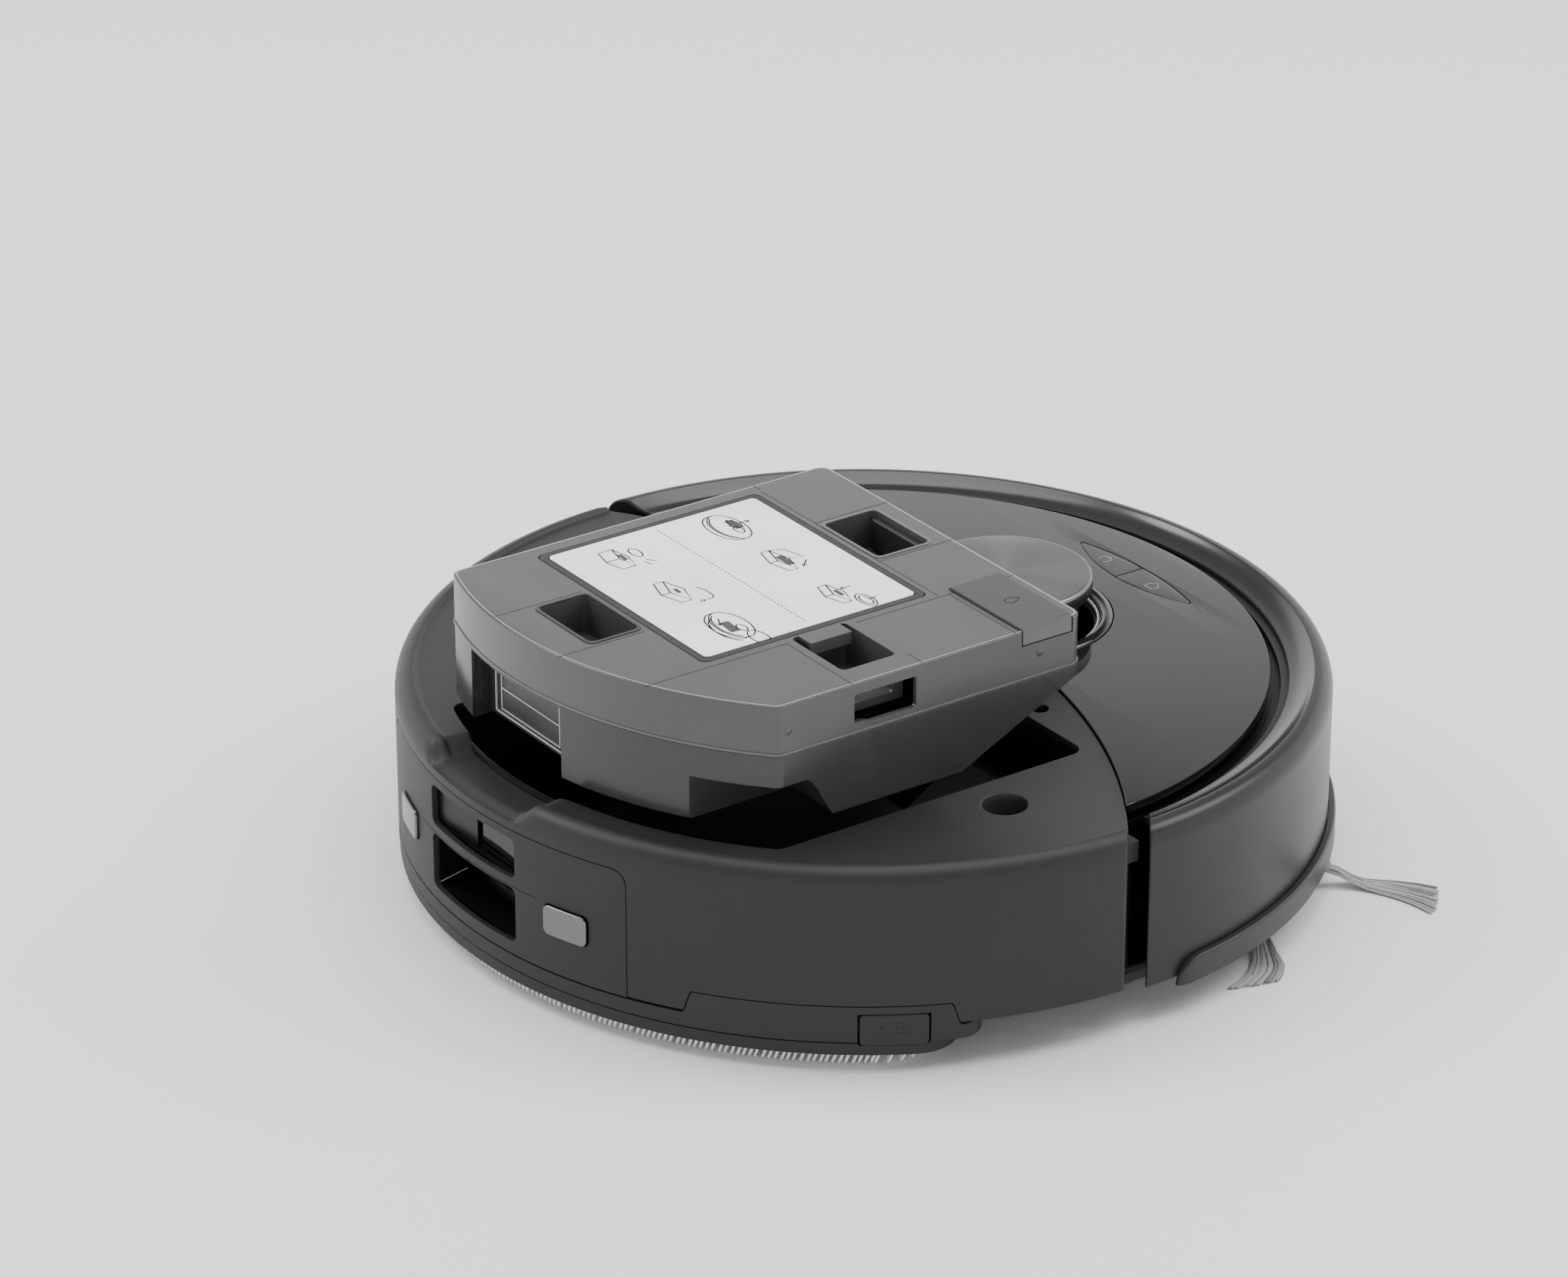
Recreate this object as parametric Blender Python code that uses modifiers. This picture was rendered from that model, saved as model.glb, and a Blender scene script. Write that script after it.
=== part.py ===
"""Robot vacuum and mop with a laser turret, a lift-out bin and a clip-on mop plate.

Metres, +Z up. The origin is on the floor under the middle of the round body. The front looks along
-Y, the robot's left side along +X. The bin is drawn lifted straight out of its bay. Angles in plan
are in degrees from the front, counted towards the robot's left.
"""
import math

import bmesh
import bpy
from mathutils import Matrix, Vector

# ------------------------------------------------------------------ driving dimensions
BODY_RADIUS = 0.175          # side wall of the shell and of the bumper
WALL = 0.0025                # moulded wall thickness
GAP = 0.0003                 # clearance between neighbours that touch on the real object
BUMPER_FORWARD = 0.003       # the bumper's circle sits this far in front of the body's
TURRET_TOP = 0.0965          # overall height
SHELL_LOW = 0.018            # lower edge of the shell's wall
DECK_TOP = 0.078             # flat top of the shell
CREST_TOP = 0.0795           # raised rim round the deck
COVER_TOP = 0.079            # glossy front cover
COVER_RADIUS = 0.1535
BUMPER_INNER = 0.1584        # inner edge of the bumper's top
SPLIT_RADIUS = 0.281         # arc between the deck and the front cover
SPLIT_CENTRE_Y = 0.229
SHELL_FRONT_Y = 0.0098       # front ends of the shell's wall
CHASSIS_LOW, CHASSIS_TOP = 0.0183, 0.0218
COVER_PLATE_LOW = 0.0130     # underside of the skid plate

# bin bay and bin, in the seated position
BAY_RIGHT, BAY_LEFT, BAY_FRONT, BAY_RADIUS = -0.1085, 0.0548, -0.0225, 0.1565
BIN_CLEARANCE = 0.0011
BIN_TOP, BIN_SEAM, BIN_LOW = 0.079, 0.060, 0.0304
BIN_WALL = 0.0018
BIN_SLOPE_Y = 0.031          # the bin's floor turns up to the front from here
BIN_LIFT = 0.054             # how far the bin is drawn above its seat
BAY_FLOOR_LOW, BAY_FLOOR_TOP = 0.0236, 0.0254

PORT_DUCT_X = (-0.0222, 0.0242)

# dust lid and the recesses in the bin's top
LID_X = (-0.063, 0.047)
LID_Y = (0.015, 0.114)
POCKET_X = (-0.026, 0.009)
REAR_POCKET_Y = (0.1165, 0.1375)
FRONT_POCKET_Y = (-0.0125, 0.0110)
LATCH_POCKET_X = (-0.096, -0.0640)
LATCH_POCKET_Y = (0.0535, 0.0770)
PLUG_X = (-0.1064, -0.0630)
PLUG_Y = (-0.0165, 0.0060)

# turret
TURRET_Y = -0.067
CAP_RADIUS = 0.034
WELL_RADIUS = 0.0423

# running gear
WHEEL_X, WHEEL_Y, WHEEL_RADIUS, WHEEL_WIDTH = 0.1265, 0.012, 0.034, 0.020
ARM_PIVOT_Y, ARM_PIVOT_Z = -0.034, 0.040
CASTER_Y, CASTER_WHEEL_RADIUS = -0.118, 0.0138
BRUSH_Y, BRUSH_Z, BRUSH_RADIUS, BRUSH_HALF = -0.026, 0.0230, 0.0215, 0.083
SIDE_BRUSH = (-0.103, -0.090)
MOP_FRONT_Y = 0.057

# rear panel
PANEL_HALF_WIDTH = 0.0767
PANEL_TOP = 0.0685
WINDOW_HALF_WIDTH = 0.0278
CONTACT_ANGLE = 17.4


# ------------------------------------------------------------------ collections and materials
def clear_scene():
    for old in list(bpy.data.objects):
        bpy.data.objects.remove(old, do_unlink=True)


clear_scene()
PARTS = bpy.data.collections.new("robot_vacuum")
CUTTERS = bpy.data.collections.new("cutters")
for collection in (PARTS, CUTTERS):
    bpy.context.scene.collection.children.link(collection)

# finish: colour, roughness, metallic, alpha
FINISHES = {
    "charcoal": ((0.040, 0.041, 0.043), 0.48, 0.0, 1.0),
    "graphite": ((0.060, 0.061, 0.064), 0.40, 0.0, 1.0),
    "black": ((0.010, 0.010, 0.011), 0.45, 0.0, 1.0),
    "mirror_dark": ((0.075, 0.077, 0.082), 0.06, 0.3, 1.0),
    "spun_metal": ((0.42, 0.42, 0.43), 0.28, 1.0, 1.0),
    "silver": ((0.72, 0.72, 0.73), 0.22, 1.0, 1.0),
    "smoke": ((0.22, 0.22, 0.24), 0.15, 0.0, 0.55),
    "slate": ((0.10, 0.11, 0.12), 0.40, 0.0, 1.0),
    "paper": ((0.86, 0.87, 0.87), 0.35, 0.0, 1.0),
    "ivory": ((0.80, 0.80, 0.78), 0.40, 0.0, 1.0),
    "rubber": ((0.020, 0.020, 0.021), 0.75, 0.0, 1.0),
    "bristle": ((0.55, 0.56, 0.57), 0.60, 0.0, 1.0),
    "cloth": ((0.80, 0.80, 0.80), 0.90, 0.0, 1.0),
    "board": ((0.02, 0.16, 0.07), 0.40, 0.0, 1.0),
    "steel": ((0.55, 0.55, 0.56), 0.35, 1.0, 1.0),
}


def paint(piece, finish):
    """Give a piece its own Principled material."""
    colour, roughness, metallic, alpha = FINISHES[finish]
    material = bpy.data.materials.new(piece.name + "_" + finish)
    material.use_nodes = True
    shader = material.node_tree.nodes["Principled BSDF"]
    shader.inputs["Base Color"].default_value = (*colour, 1.0)
    shader.inputs["Roughness"].default_value = roughness
    shader.inputs["Metallic"].default_value = metallic
    shader.inputs["Alpha"].default_value = alpha
    piece.data.materials.append(material)
    return piece


# ------------------------------------------------------------------ outlines
def polar(radius, angle, centre=(0.0, 0.0)):
    turn = math.radians(angle)
    return (centre[0] + radius * math.sin(turn), centre[1] - radius * math.cos(turn))


def arc(radius, start, end, steps, centre=(0.0, 0.0)):
    return [polar(radius, start + (end - start) * i / steps, centre) for i in range(steps + 1)]


def circle(radius, centre=(0.0, 0.0), steps=48):
    return arc(radius, 0, 360, steps, centre)[:-1]


def rectangle(x_range, y_range):
    (x0, x1), (y0, y1) = x_range, y_range
    return [(x0, y0), (x1, y0), (x1, y1), (x0, y1)]


def rounded(corners, radius, steps=4):
    """The same polygon with every corner turned into an arc."""
    outline = []
    for i, corner in enumerate(corners):
        corner = Vector(corner)
        back = (Vector(corners[i - 1]) - corner).normalized()
        ahead = (Vector(corners[(i + 1) % len(corners)]) - corner).normalized()
        half = back.angle(ahead) / 2
        centre = corner + (back + ahead).normalized() * (radius / math.sin(half))
        reach = radius / math.tan(half)
        first, last = corner + back * reach - centre, corner + ahead * reach - centre
        start = math.atan2(first.y, first.x)
        sweep = (math.atan2(last.y, last.x) - start + math.pi) % (2 * math.pi) - math.pi
        for k in range(steps + 1):
            turn = start + sweep * k / steps
            outline.append((centre.x + radius * math.cos(turn), centre.y + radius * math.sin(turn)))
    return outline


def sector(inner, outer, start, end, steps, centre=(0.0, 0.0)):
    """A slice of a ring."""
    return arc(outer, start, end, steps, centre) + arc(inner, end, start, steps, centre)


def ellipse_arc(centre, radii, start, end, steps):
    """Points of a profile that runs round a corner; angles in degrees from outwards to up."""
    points = []
    for i in range(steps + 1):
        turn = math.radians(start + (end - start) * i / steps)
        points.append((centre[0] + radii[0] * math.cos(turn), centre[1] + radii[1] * math.sin(turn)))
    return points


def split_crossing(radius, split_radius):
    """Angle from the front at which a body circle meets the arc between deck and cover."""
    y = (SPLIT_CENTRE_Y ** 2 + radius ** 2 - split_radius ** 2) / (2 * SPLIT_CENTRE_Y)
    return math.degrees(math.acos(-y / radius))


def split_arc(split_radius, half_width, steps):
    """The arc between deck and cover, from the robot's left to its right."""
    half_angle = math.degrees(math.asin(half_width / split_radius))
    return arc(split_radius, half_angle, -half_angle, steps, (0.0, SPLIT_CENTRE_Y))


def bin_outline(inset, corner_radius=0.005, steps=18):
    """Plan of the bin bay, or of the bin when it is drawn smaller by the inset."""
    right, left, front = BAY_RIGHT + inset, BAY_LEFT - inset, BAY_FRONT + inset
    radius = BAY_RADIUS - inset
    start = 180 - math.degrees(math.asin(left / radius))
    end = 180 + math.degrees(math.asin(-right / radius))
    rear = arc(radius, start, end, steps)
    corners = [(right, front), (left, front), rear[0]]
    turned = rounded(corners + [rear[1], rear[-2], rear[-1]], corner_radius)
    per_corner = len(turned) // 6
    left_rear, right_rear = turned[2 * per_corner:3 * per_corner], turned[5 * per_corner:]
    return turned[:2 * per_corner] + left_rear + rear[2:-2] + right_rear


def bin_side(inset, low, top):
    """Side view (y, z) of the bin or bay: flat floor, front face sloping forward and up."""
    front, rear = BAY_FRONT + inset, BAY_RADIUS - inset
    slope_top = BIN_SEAM - 0.003 - inset
    return [(rear + 0.02, low), (rear + 0.02, top), (front - 0.02, top), (front - 0.02, slope_top),
            (front, slope_top), (BIN_SLOPE_Y + inset, low)]


# ------------------------------------------------------------------ building blocks
AXES = {
    "X": Matrix(((0, 0, 1), (1, 0, 0), (0, 1, 0))),    # outlines are (y, z)
    "Y": Matrix(((1, 0, 0), (0, 0, -1), (0, 1, 0))),   # outlines are (x, z)
    "Z": Matrix.Identity(3),                           # outlines are (x, y)
}


def placed(name, mesh, matrix):
    piece = bpy.data.objects.new(name, mesh)
    PARTS.objects.link(piece)
    piece.matrix_basis = matrix
    return piece


def across(axis, low, high, centre=(0.0, 0.0)):
    """Placement of a shape drawn in the plane across an axis, midway between low and high on it."""
    middle = (low + high) / 2
    spot = {"X": (middle, *centre), "Y": (centre[0], middle, centre[1]), "Z": (*centre, middle)}[axis]
    return Matrix.Translation(spot) @ AXES[axis].to_4x4()


def prism(name, outline, low, high, axis="Z", holes=()):
    """A flat outline, with holes, given thickness from low to high along an axis."""
    curve = bpy.data.curves.new(name, "CURVE")
    curve.dimensions = "2D"
    curve.fill_mode = "BOTH"
    curve.extrude = (high - low) / 2
    for points in (outline, *holes):
        spline = curve.splines.new("POLY")
        spline.points.add(len(points) - 1)
        for point, (u, v) in zip(spline.points, points):
            point.co = (u, v, 0.0, 1.0)
        spline.use_cyclic_u = True
    guide = bpy.data.objects.new(name + "_outline", curve)
    bpy.context.scene.collection.objects.link(guide)
    depsgraph = bpy.context.evaluated_depsgraph_get()
    mesh = bpy.data.meshes.new_from_object(guide.evaluated_get(depsgraph))
    bpy.data.objects.remove(guide, do_unlink=True)
    work = bmesh.new()
    work.from_mesh(mesh)
    bmesh.ops.remove_doubles(work, verts=work.verts, dist=1e-6)
    bmesh.ops.recalc_face_normals(work, faces=work.faces)
    work.to_mesh(mesh)
    work.free()
    mesh.name = name
    return placed(name, mesh, across(axis, low, high))


def box(name, x_range, y_range, z_range):
    mesh = bpy.data.meshes.new(name)
    work = bmesh.new()
    bmesh.ops.create_cube(work, size=1.0)
    size = [high - low for low, high in (x_range, y_range, z_range)]
    centre = [(high + low) / 2 for low, high in (x_range, y_range, z_range)]
    bmesh.ops.scale(work, vec=size, verts=work.verts)
    work.to_mesh(mesh)
    work.free()
    return placed(name, mesh, Matrix.Translation(centre))


def cylinder(name, radius, low, high, centre=(0.0, 0.0), axis="Z", steps=32, top_radius=None):
    """A round bar from low to high along an axis; centre is in the plane across it."""
    mesh = bpy.data.meshes.new(name)
    work = bmesh.new()
    bmesh.ops.create_cone(work, cap_ends=True, segments=steps, radius1=radius,
                          radius2=radius if top_radius is None else top_radius, depth=high - low)
    work.to_mesh(mesh)
    work.free()
    return placed(name, mesh, across(axis, low, high, centre))


def turned(name, profile, centre=(0.0, 0.0, 0.0), axis="Z", steps=64):
    """A turned body: (radius, height) points that run down the outer side."""
    mesh = bpy.data.meshes.new(name)
    links = [(i, i + 1) for i in range(len(profile) - 1)]
    if profile[0][0] > 0:
        links.append((len(profile) - 1, 0))
    mesh.from_pydata([(radius, 0.0, height) for radius, height in profile], links, [])
    piece = placed(name, mesh, Matrix.Translation(centre) @ AXES[axis].to_4x4())
    screw = piece.modifiers.new("turn", "SCREW")
    screw.steps = screw.render_steps = steps
    screw.use_merge_vertices = True
    screw.merge_threshold = 1e-5
    screw.use_smooth_shade = True
    return piece


def ring(name, inner, outer, low, high, centre=(0.0, 0.0), steps=64):
    profile = [(outer, high), (outer, low), (inner, low), (inner, high)]
    return turned(name, profile, (*centre, 0.0), "Z", steps)


def combine(piece, tool, operation):
    """Boolean a tool into a piece; the tool becomes a hidden cutter that rides on the piece."""
    PARTS.objects.unlink(tool)
    CUTTERS.objects.link(tool)
    tool.hide_render = True
    tool.display_type = "WIRE"
    attach(tool, piece)
    change = piece.modifiers.new(operation.lower(), "BOOLEAN")
    change.operation = operation
    change.object = tool
    return piece


def cut(piece, *tools):
    for tool in tools:
        combine(piece, tool, "DIFFERENCE")
    return piece


def join(piece, *tools):
    for tool in tools:
        combine(piece, tool, "UNION")
    return piece


def keep(piece, tool):
    return combine(piece, tool, "INTERSECT")


def soften(piece, width, segments=2, angle=40):
    bevel = piece.modifiers.new("edges", "BEVEL")
    bevel.width = width
    bevel.segments = segments
    bevel.limit_method = "ANGLE"
    bevel.angle_limit = math.radians(angle)
    return piece


# ------------------------------------------------------------------ parents and joints
def attach(child, parent):
    """Parent without moving; every piece is drawn in body coordinates."""
    child.parent = parent
    child.matrix_parent_inverse = parent.matrix_basis.inverted()


def pivot(name, location, parent=None):
    empty = bpy.data.objects.new(name, None)
    empty.empty_display_size = 0.01
    PARTS.objects.link(empty)
    empty.matrix_basis = Matrix.Translation(location)
    if parent:
        attach(empty, parent)
    return empty


def ride(parent, *pieces):
    for piece in pieces:
        attach(piece, parent)


def side_name(side):
    return "left" if side > 0 else "right"


# ------------------------------------------------------------------ frame under the robot
def wheel_well(side):
    near, far = 0.1115, 0.1500
    return rectangle((near, far) if side > 0 else (-far, -near), (WHEEL_Y - 0.042, WHEEL_Y + 0.039))


def floor_holes(grow=0.0):
    """Openings that the chassis and the skid plate share; the skid plate's are a little larger."""
    brush = rectangle((-0.0865 - grow, 0.0865 + grow), (BRUSH_Y - 0.0255 - grow, BRUSH_Y + 0.0255 + grow))
    return [wheel_well(1), wheel_well(-1), brush, circle(0.0188 + grow, (0.0, CASTER_Y), 32),
            circle(0.0125 + grow, SIDE_BRUSH, 24)]


def build_chassis():
    front, rear = arc(0.166, -92, 92, 40), arc(0.1695, 92, 268, 40)
    paint(prism("chassis_base", front + rear, CHASSIS_LOW, CHASSIS_TOP, holes=floor_holes()), "black")
    edge = 0.164
    half = math.degrees(math.acos(-(MOP_FRONT_Y - 0.002) / edge))
    paint(prism("bottom_cover", arc(edge, -half, half, 56), COVER_PLATE_LOW, CHASSIS_LOW - GAP,
                holes=floor_holes(0.0005)), "charcoal")


# ------------------------------------------------------------------ shell and rear panel
def shell_wall_profile():
    outer = ellipse_arc((0.168, 0.0705), (0.007, 0.009), 90, 0, 5)
    inner = ellipse_arc((0.168, 0.0700), (0.0045, 0.0057), 0, 90, 3)
    return ([(0.0, DECK_TOP), (0.1645, DECK_TOP), (0.1664, 0.0790)] + outer
            + [(BODY_RADIUS, SHELL_LOW), (BODY_RADIUS - WALL, SHELL_LOW)] + inner
            + [(0.0, DECK_TOP - 0.0023)])


def front_zone(split_radius, front_y):
    """Everything in front of the deck's arc, and outside its two tongues beside the bumper."""
    tongue = 0.1555
    back = math.degrees(math.acos(-front_y / tongue))
    crossing = split_crossing(tongue, split_radius)
    edge = split_arc(split_radius, tongue * math.sin(math.radians(crossing)), 24)
    return ([(0.20, -0.20), (0.20, front_y)] + arc(tongue, back, crossing, 3) + edge[1:-1]
            + arc(tongue, -crossing, -back, 3) + [(-0.20, front_y), (-0.20, -0.20)])


def scoop_side(half_width, depth_z, top_z):
    """Front view of the finger scoop: flat bottom with S-shaped ramps."""
    ramp = 0.010
    steps = 6
    rise = [(half_width + ramp * i / steps,
             depth_z + (top_z - depth_z) * (0.5 - 0.5 * math.cos(math.pi * i / steps)))
            for i in range(steps + 1)]
    left = rise + [(half_width + ramp, top_z + 0.01)]
    return left + [(-x, z) for x, z in reversed(left)]


def panel_outline(grow):
    half, top = PANEL_HALF_WIDTH + grow, PANEL_TOP + grow
    corner = 0.006
    upper = [(half, 0.0), (half, top - corner)]
    upper += [(half - corner + corner * math.cos(math.radians(a)),
               top - corner + corner * math.sin(math.radians(a))) for a in (30, 60, 90)]
    return upper + [(-x, z) for x, z in reversed(upper)]


def window_outline(low, high):
    corners = rectangle((-WINDOW_HALF_WIDTH, WINDOW_HALF_WIDTH), (low, high))
    return rounded(corners, 0.003, 3)


def build_shell():
    shell = turned("rear_shell", shell_wall_profile(), steps=72)
    join(shell, prism("scoop_floor", sector(0.1587, 0.1735, 166, 194, 10), 0.0708, 0.0768))
    cut(shell, prism("shell_front", front_zone(SPLIT_RADIUS, SHELL_FRONT_Y), 0.0, 0.1))
    cut(shell, prism("shell_bay", bin_outline(0.0), 0.02, 0.1))
    cut(shell, cylinder("shell_well", WELL_RADIUS, 0.07, 0.09, (0.0, TURRET_Y), steps=48))
    cut(shell, prism("shell_scoop", scoop_side(0.026, 0.0735, CREST_TOP), 0.158, 0.19, "Y"))
    cut(shell, prism("shell_panel_hole", panel_outline(GAP), 0.10, 0.20, "Y"))
    cut(shell, cylinder("shell_recess", 0.0062, 0.07, 0.0785, (-0.126, 0.027), steps=24, top_radius=0.0088))
    cut(shell, cylinder("shell_small_hole", 0.0030, 0.07, 0.09, (-0.072, -0.030), steps=16))
    for side in (1, -1):
        notch = sector(0.168, 0.180, side * 113.6, side * 145.9, 8)
        cut(shell, prism("shell_mop_notch", notch, 0.0, 0.0265))
    paint(shell, "charcoal")

    panel = ring("rear_panel", BODY_RADIUS - WALL, BODY_RADIUS, SHELL_LOW, 0.069, steps=72)
    keep(panel, prism("panel_shape", panel_outline(0.0), 0.10, 0.20, "Y"))
    cut(panel, prism("panel_upper_window", window_outline(0.0490, 0.0650), 0.10, 0.20, "Y"))
    cut(panel, prism("panel_lower_window", window_outline(0.0230, 0.0450), 0.10, 0.20, "Y"))
    for side in (1, -1):
        cut(panel, contact_block("panel_contact_hole", side, GAP, 0.165, 0.180))
    paint(panel, "charcoal")


def contact_block(name, side, grow, start, end):
    """A rounded bar along the radius through a charging contact."""
    corners = rectangle((-0.01025 - grow, 0.01025 + grow), (0.0330 - grow, 0.0455 + grow))
    block = prism(name, rounded(corners, 0.0025, 3), start, end, "Y")
    block.matrix_basis = Matrix.Rotation(math.radians(-side * CONTACT_ANGLE), 4, "Z") @ block.matrix_basis
    return block


def build_contacts():
    for side in (1, -1):
        contact = contact_block("charging_contact_" + side_name(side), side, 0.0, 0.169, 0.1765)
        paint(contact, "silver")


# ------------------------------------------------------------------ bin bay
def bay_solid(name, inset, low, top):
    solid = prism(name, bin_outline(inset), low - 0.001, top + 0.001)
    half = prism(name + "_side", bin_side(inset, low, top), -0.13, 0.08, "X")
    return keep(solid, half)


def build_bay():
    bay = bay_solid("bin_bay", -0.0018, BAY_FLOOR_LOW, DECK_TOP - 0.0023 - GAP)
    cut(bay, bay_solid("bay_hollow", 0.0, BAY_FLOOR_TOP, 0.10))
    cut(bay, prism("bay_upper_port", rectangle((-0.027, 0.027), (0.0495, 0.0645)), 0.12, 0.20, "Y"))
    cut(bay, prism("bay_lower_port", rectangle((-0.027, 0.027), (0.0290, 0.0445)), 0.12, 0.20, "Y"))
    cut(bay, box("bay_air_port", (0.05, 0.07), (0.0620, 0.0920), (0.0360, 0.0540)))
    cut(bay, box("bay_suction_port", (-0.045, 0.015), (-0.02, 0.02), (0.036, 0.050)))
    paint(bay, "black")


# ------------------------------------------------------------------ front frame and cover
def build_front():
    flange_low, flange_top = 0.0722, COVER_TOP - 0.0032 - GAP
    frame = prism("front_frame", sector(0.142, 0.1555, -93, 93, 32), flange_low, flange_top)
    join(frame, prism("frame_wall", sector(0.151, 0.1545, -64, 64, 20), CHASSIS_TOP + GAP, flange_low + 0.001))
    for side in (1, -1):
        xs = (0.1520, 0.1670) if side > 0 else (-0.1670, -0.1520)
        ledge = (0.1500, 0.1695) if side > 0 else (-0.1695, -0.1500)
        join(frame, box("frame_post", xs, (0.0008, 0.0084), (CHASSIS_TOP + GAP, flange_low + 0.001)))
        join(frame, box("frame_ledge", ledge, (0.0006, 0.0086), (flange_low + 0.0008, flange_top - 0.0004)))
    paint(frame, "black")

    crossing = split_crossing(COVER_RADIUS, SPLIT_RADIUS + GAP)
    half_width = COVER_RADIUS * math.sin(math.radians(crossing))
    rim = arc(COVER_RADIUS, -crossing, crossing, 44)
    seam = split_arc(SPLIT_RADIUS + GAP, half_width, 20)
    cover = prism("front_cover", rim + seam[1:-1], COVER_TOP - 0.0032, COVER_TOP, holes=[button_strip(0.0)])
    cut(cover, cylinder("cover_well", WELL_RADIUS, 0.07, 0.09, (0.0, TURRET_Y), steps=48))
    paint(cover, "mirror_dark")


# buttons: a lens between the outer arc round the body and a flatter inner arc
BUTTON_OUTER, BUTTON_INNER_Y, BUTTON_HALF = 0.136, -0.122, 0.034


def button_arcs(shrink):
    outer_radius = BUTTON_OUTER - shrink
    half = BUTTON_HALF - shrink * 2
    angle = math.degrees(math.asin(half / outer_radius))
    outer = arc(outer_radius, -angle, angle, 12)
    sagitta = (outer_radius * math.cos(math.radians(angle)) - 0.0012) + BUTTON_INNER_Y - shrink
    radius = (half ** 2 + sagitta ** 2) / (2 * sagitta)
    centre_y = BUTTON_INNER_Y - shrink - radius
    inner_angle = math.degrees(math.asin(half / radius))
    inner = arc(radius, 180 - inner_angle, 180 + inner_angle, 12, (0.0, centre_y))
    return outer, inner


def button_strip(shrink):
    outer, inner = button_arcs(shrink)
    return outer + inner


def build_buttons():
    divider = 0.0015
    for name, side in (("power_button", 1), ("home_button", -1)):
        button = prism(name, button_strip(GAP), 0.0762, COVER_TOP - 0.0002)
        xs = (divider - 0.1, divider + 0.0002) if side > 0 else (divider - 0.0002, divider + 0.1)
        cut(button, box(name + "_half", xs, (-0.2, 0.0), (0.07, 0.09)))
        paint(button, "mirror_dark")
        ride(pivot(name + "_press", (side * 0.017, -0.129, COVER_TOP)), button)


# ------------------------------------------------------------------ bumper
def build_bumper():
    outer = ellipse_arc((0.1665, 0.0710), (0.0085, 0.0090), 90, 0, 5)
    inner = ellipse_arc((0.1665, 0.0708), (0.0060, 0.0068), 0, 90, 3)
    profile = ([(BUMPER_INNER, 0.0772), (0.1630, 0.0784)] + outer
               + [(BODY_RADIUS, 0.0160), (BODY_RADIUS - WALL, 0.0160)] + inner
               + [(0.1630, 0.0760), (BUMPER_INNER, 0.0755)])
    centre = (0.0, -BUMPER_FORWARD, 0.0)
    bumper = turned("bumper_shell", profile, centre, steps=72)
    cut(bumper, box("bumper_rear", (-0.2, 0.2), (0.0, 0.2), (0.0, 0.1)))
    window = rounded(rectangle((-0.034, 0.034), (0.034, 0.056)), 0.006, 3)
    cut(bumper, prism("bumper_window_hole", window, -0.20, -0.14, "Y"))
    paint(bumper, "charcoal")

    lens = ring("bumper_window", BODY_RADIUS - WALL, BODY_RADIUS - 0.0002, 0.030, 0.060,
                (0.0, -BUMPER_FORWARD), 72)
    glass = rounded(rectangle((-0.034 + GAP, 0.034 - GAP), (0.034 + GAP, 0.056 - GAP)), 0.0057, 3)
    keep(lens, prism("bumper_window_shape", glass, -0.20, -0.14, "Y"))
    paint(lens, "mirror_dark")

    lip = [(0.1770, 0.0230), (0.1780, 0.0218), (0.1780, 0.0142), (0.1770, 0.0130),
           (BODY_RADIUS + GAP, 0.0130), (BODY_RADIUS + GAP, 0.0230)]
    skirt = turned("bumper_skirt", lip, centre, steps=72)
    cut(skirt, box("skirt_rear", (-0.2, 0.2), (-0.0167, 0.2), (0.0, 0.1)))
    paint(skirt, "graphite")
    ride(pivot("bumper_slide", centre), bumper, lens, skirt)


# ------------------------------------------------------------------ turret
def build_turret():
    place = (0.0, TURRET_Y, 0.0)
    bezel = [(0.0395, 0.0806), (0.0415, 0.0799), (0.0420, 0.0786), (0.0420, 0.0766), (0.0372, 0.0766),
             (0.0372, 0.0796)]
    paint(turned("turret_bezel", bezel, place, steps=48), "graphite")

    dish = [(0.0, 0.0605), (0.0348, 0.0605), (0.0348, 0.0763), (0.0362, 0.0763), (0.0362, 0.0580),
            (0.0, 0.0580)]
    paint(turned("lidar_mount", dish, place, steps=40), "black")

    rotor_axis = pivot("lidar_axis", (0.0, TURRET_Y, 0.0620))
    rotor = turned("lidar_rotor", [(0.0, 0.0886), (0.0275, 0.0886), (0.0290, 0.0870), (0.0290, 0.0625),
                                   (0.0, 0.0625)], place, steps=40)
    cut(rotor, box("lidar_emitter", (-0.016, -0.003), (TURRET_Y - 0.035, TURRET_Y - 0.021), (0.070, 0.084)))
    cut(rotor, box("lidar_receiver", (0.003, 0.018), (TURRET_Y - 0.035, TURRET_Y - 0.019), (0.068, 0.085)))
    paint(rotor, "black")
    ride(rotor_axis, rotor)

    cap = turned("turret_cap", [(0.0, TURRET_TOP), (CAP_RADIUS - 0.0012, TURRET_TOP),
                                (CAP_RADIUS - 0.0003, TURRET_TOP - 0.0004), (CAP_RADIUS, TURRET_TOP - 0.0014),
                                (CAP_RADIUS, 0.0913), (CAP_RADIUS - 0.0008, 0.0905), (0.0, 0.0905)],
                 place, steps=48)
    for angle in (45, 165, 285):
        join(cap, cylinder("cap_post", 0.0016, 0.0640, 0.0915, polar(0.0320, angle, (0.0, TURRET_Y)), steps=12))
    paint(cap, "spun_metal")
    ride(pivot("turret_press", (0.0, TURRET_Y, 0.0905)), cap)


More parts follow.
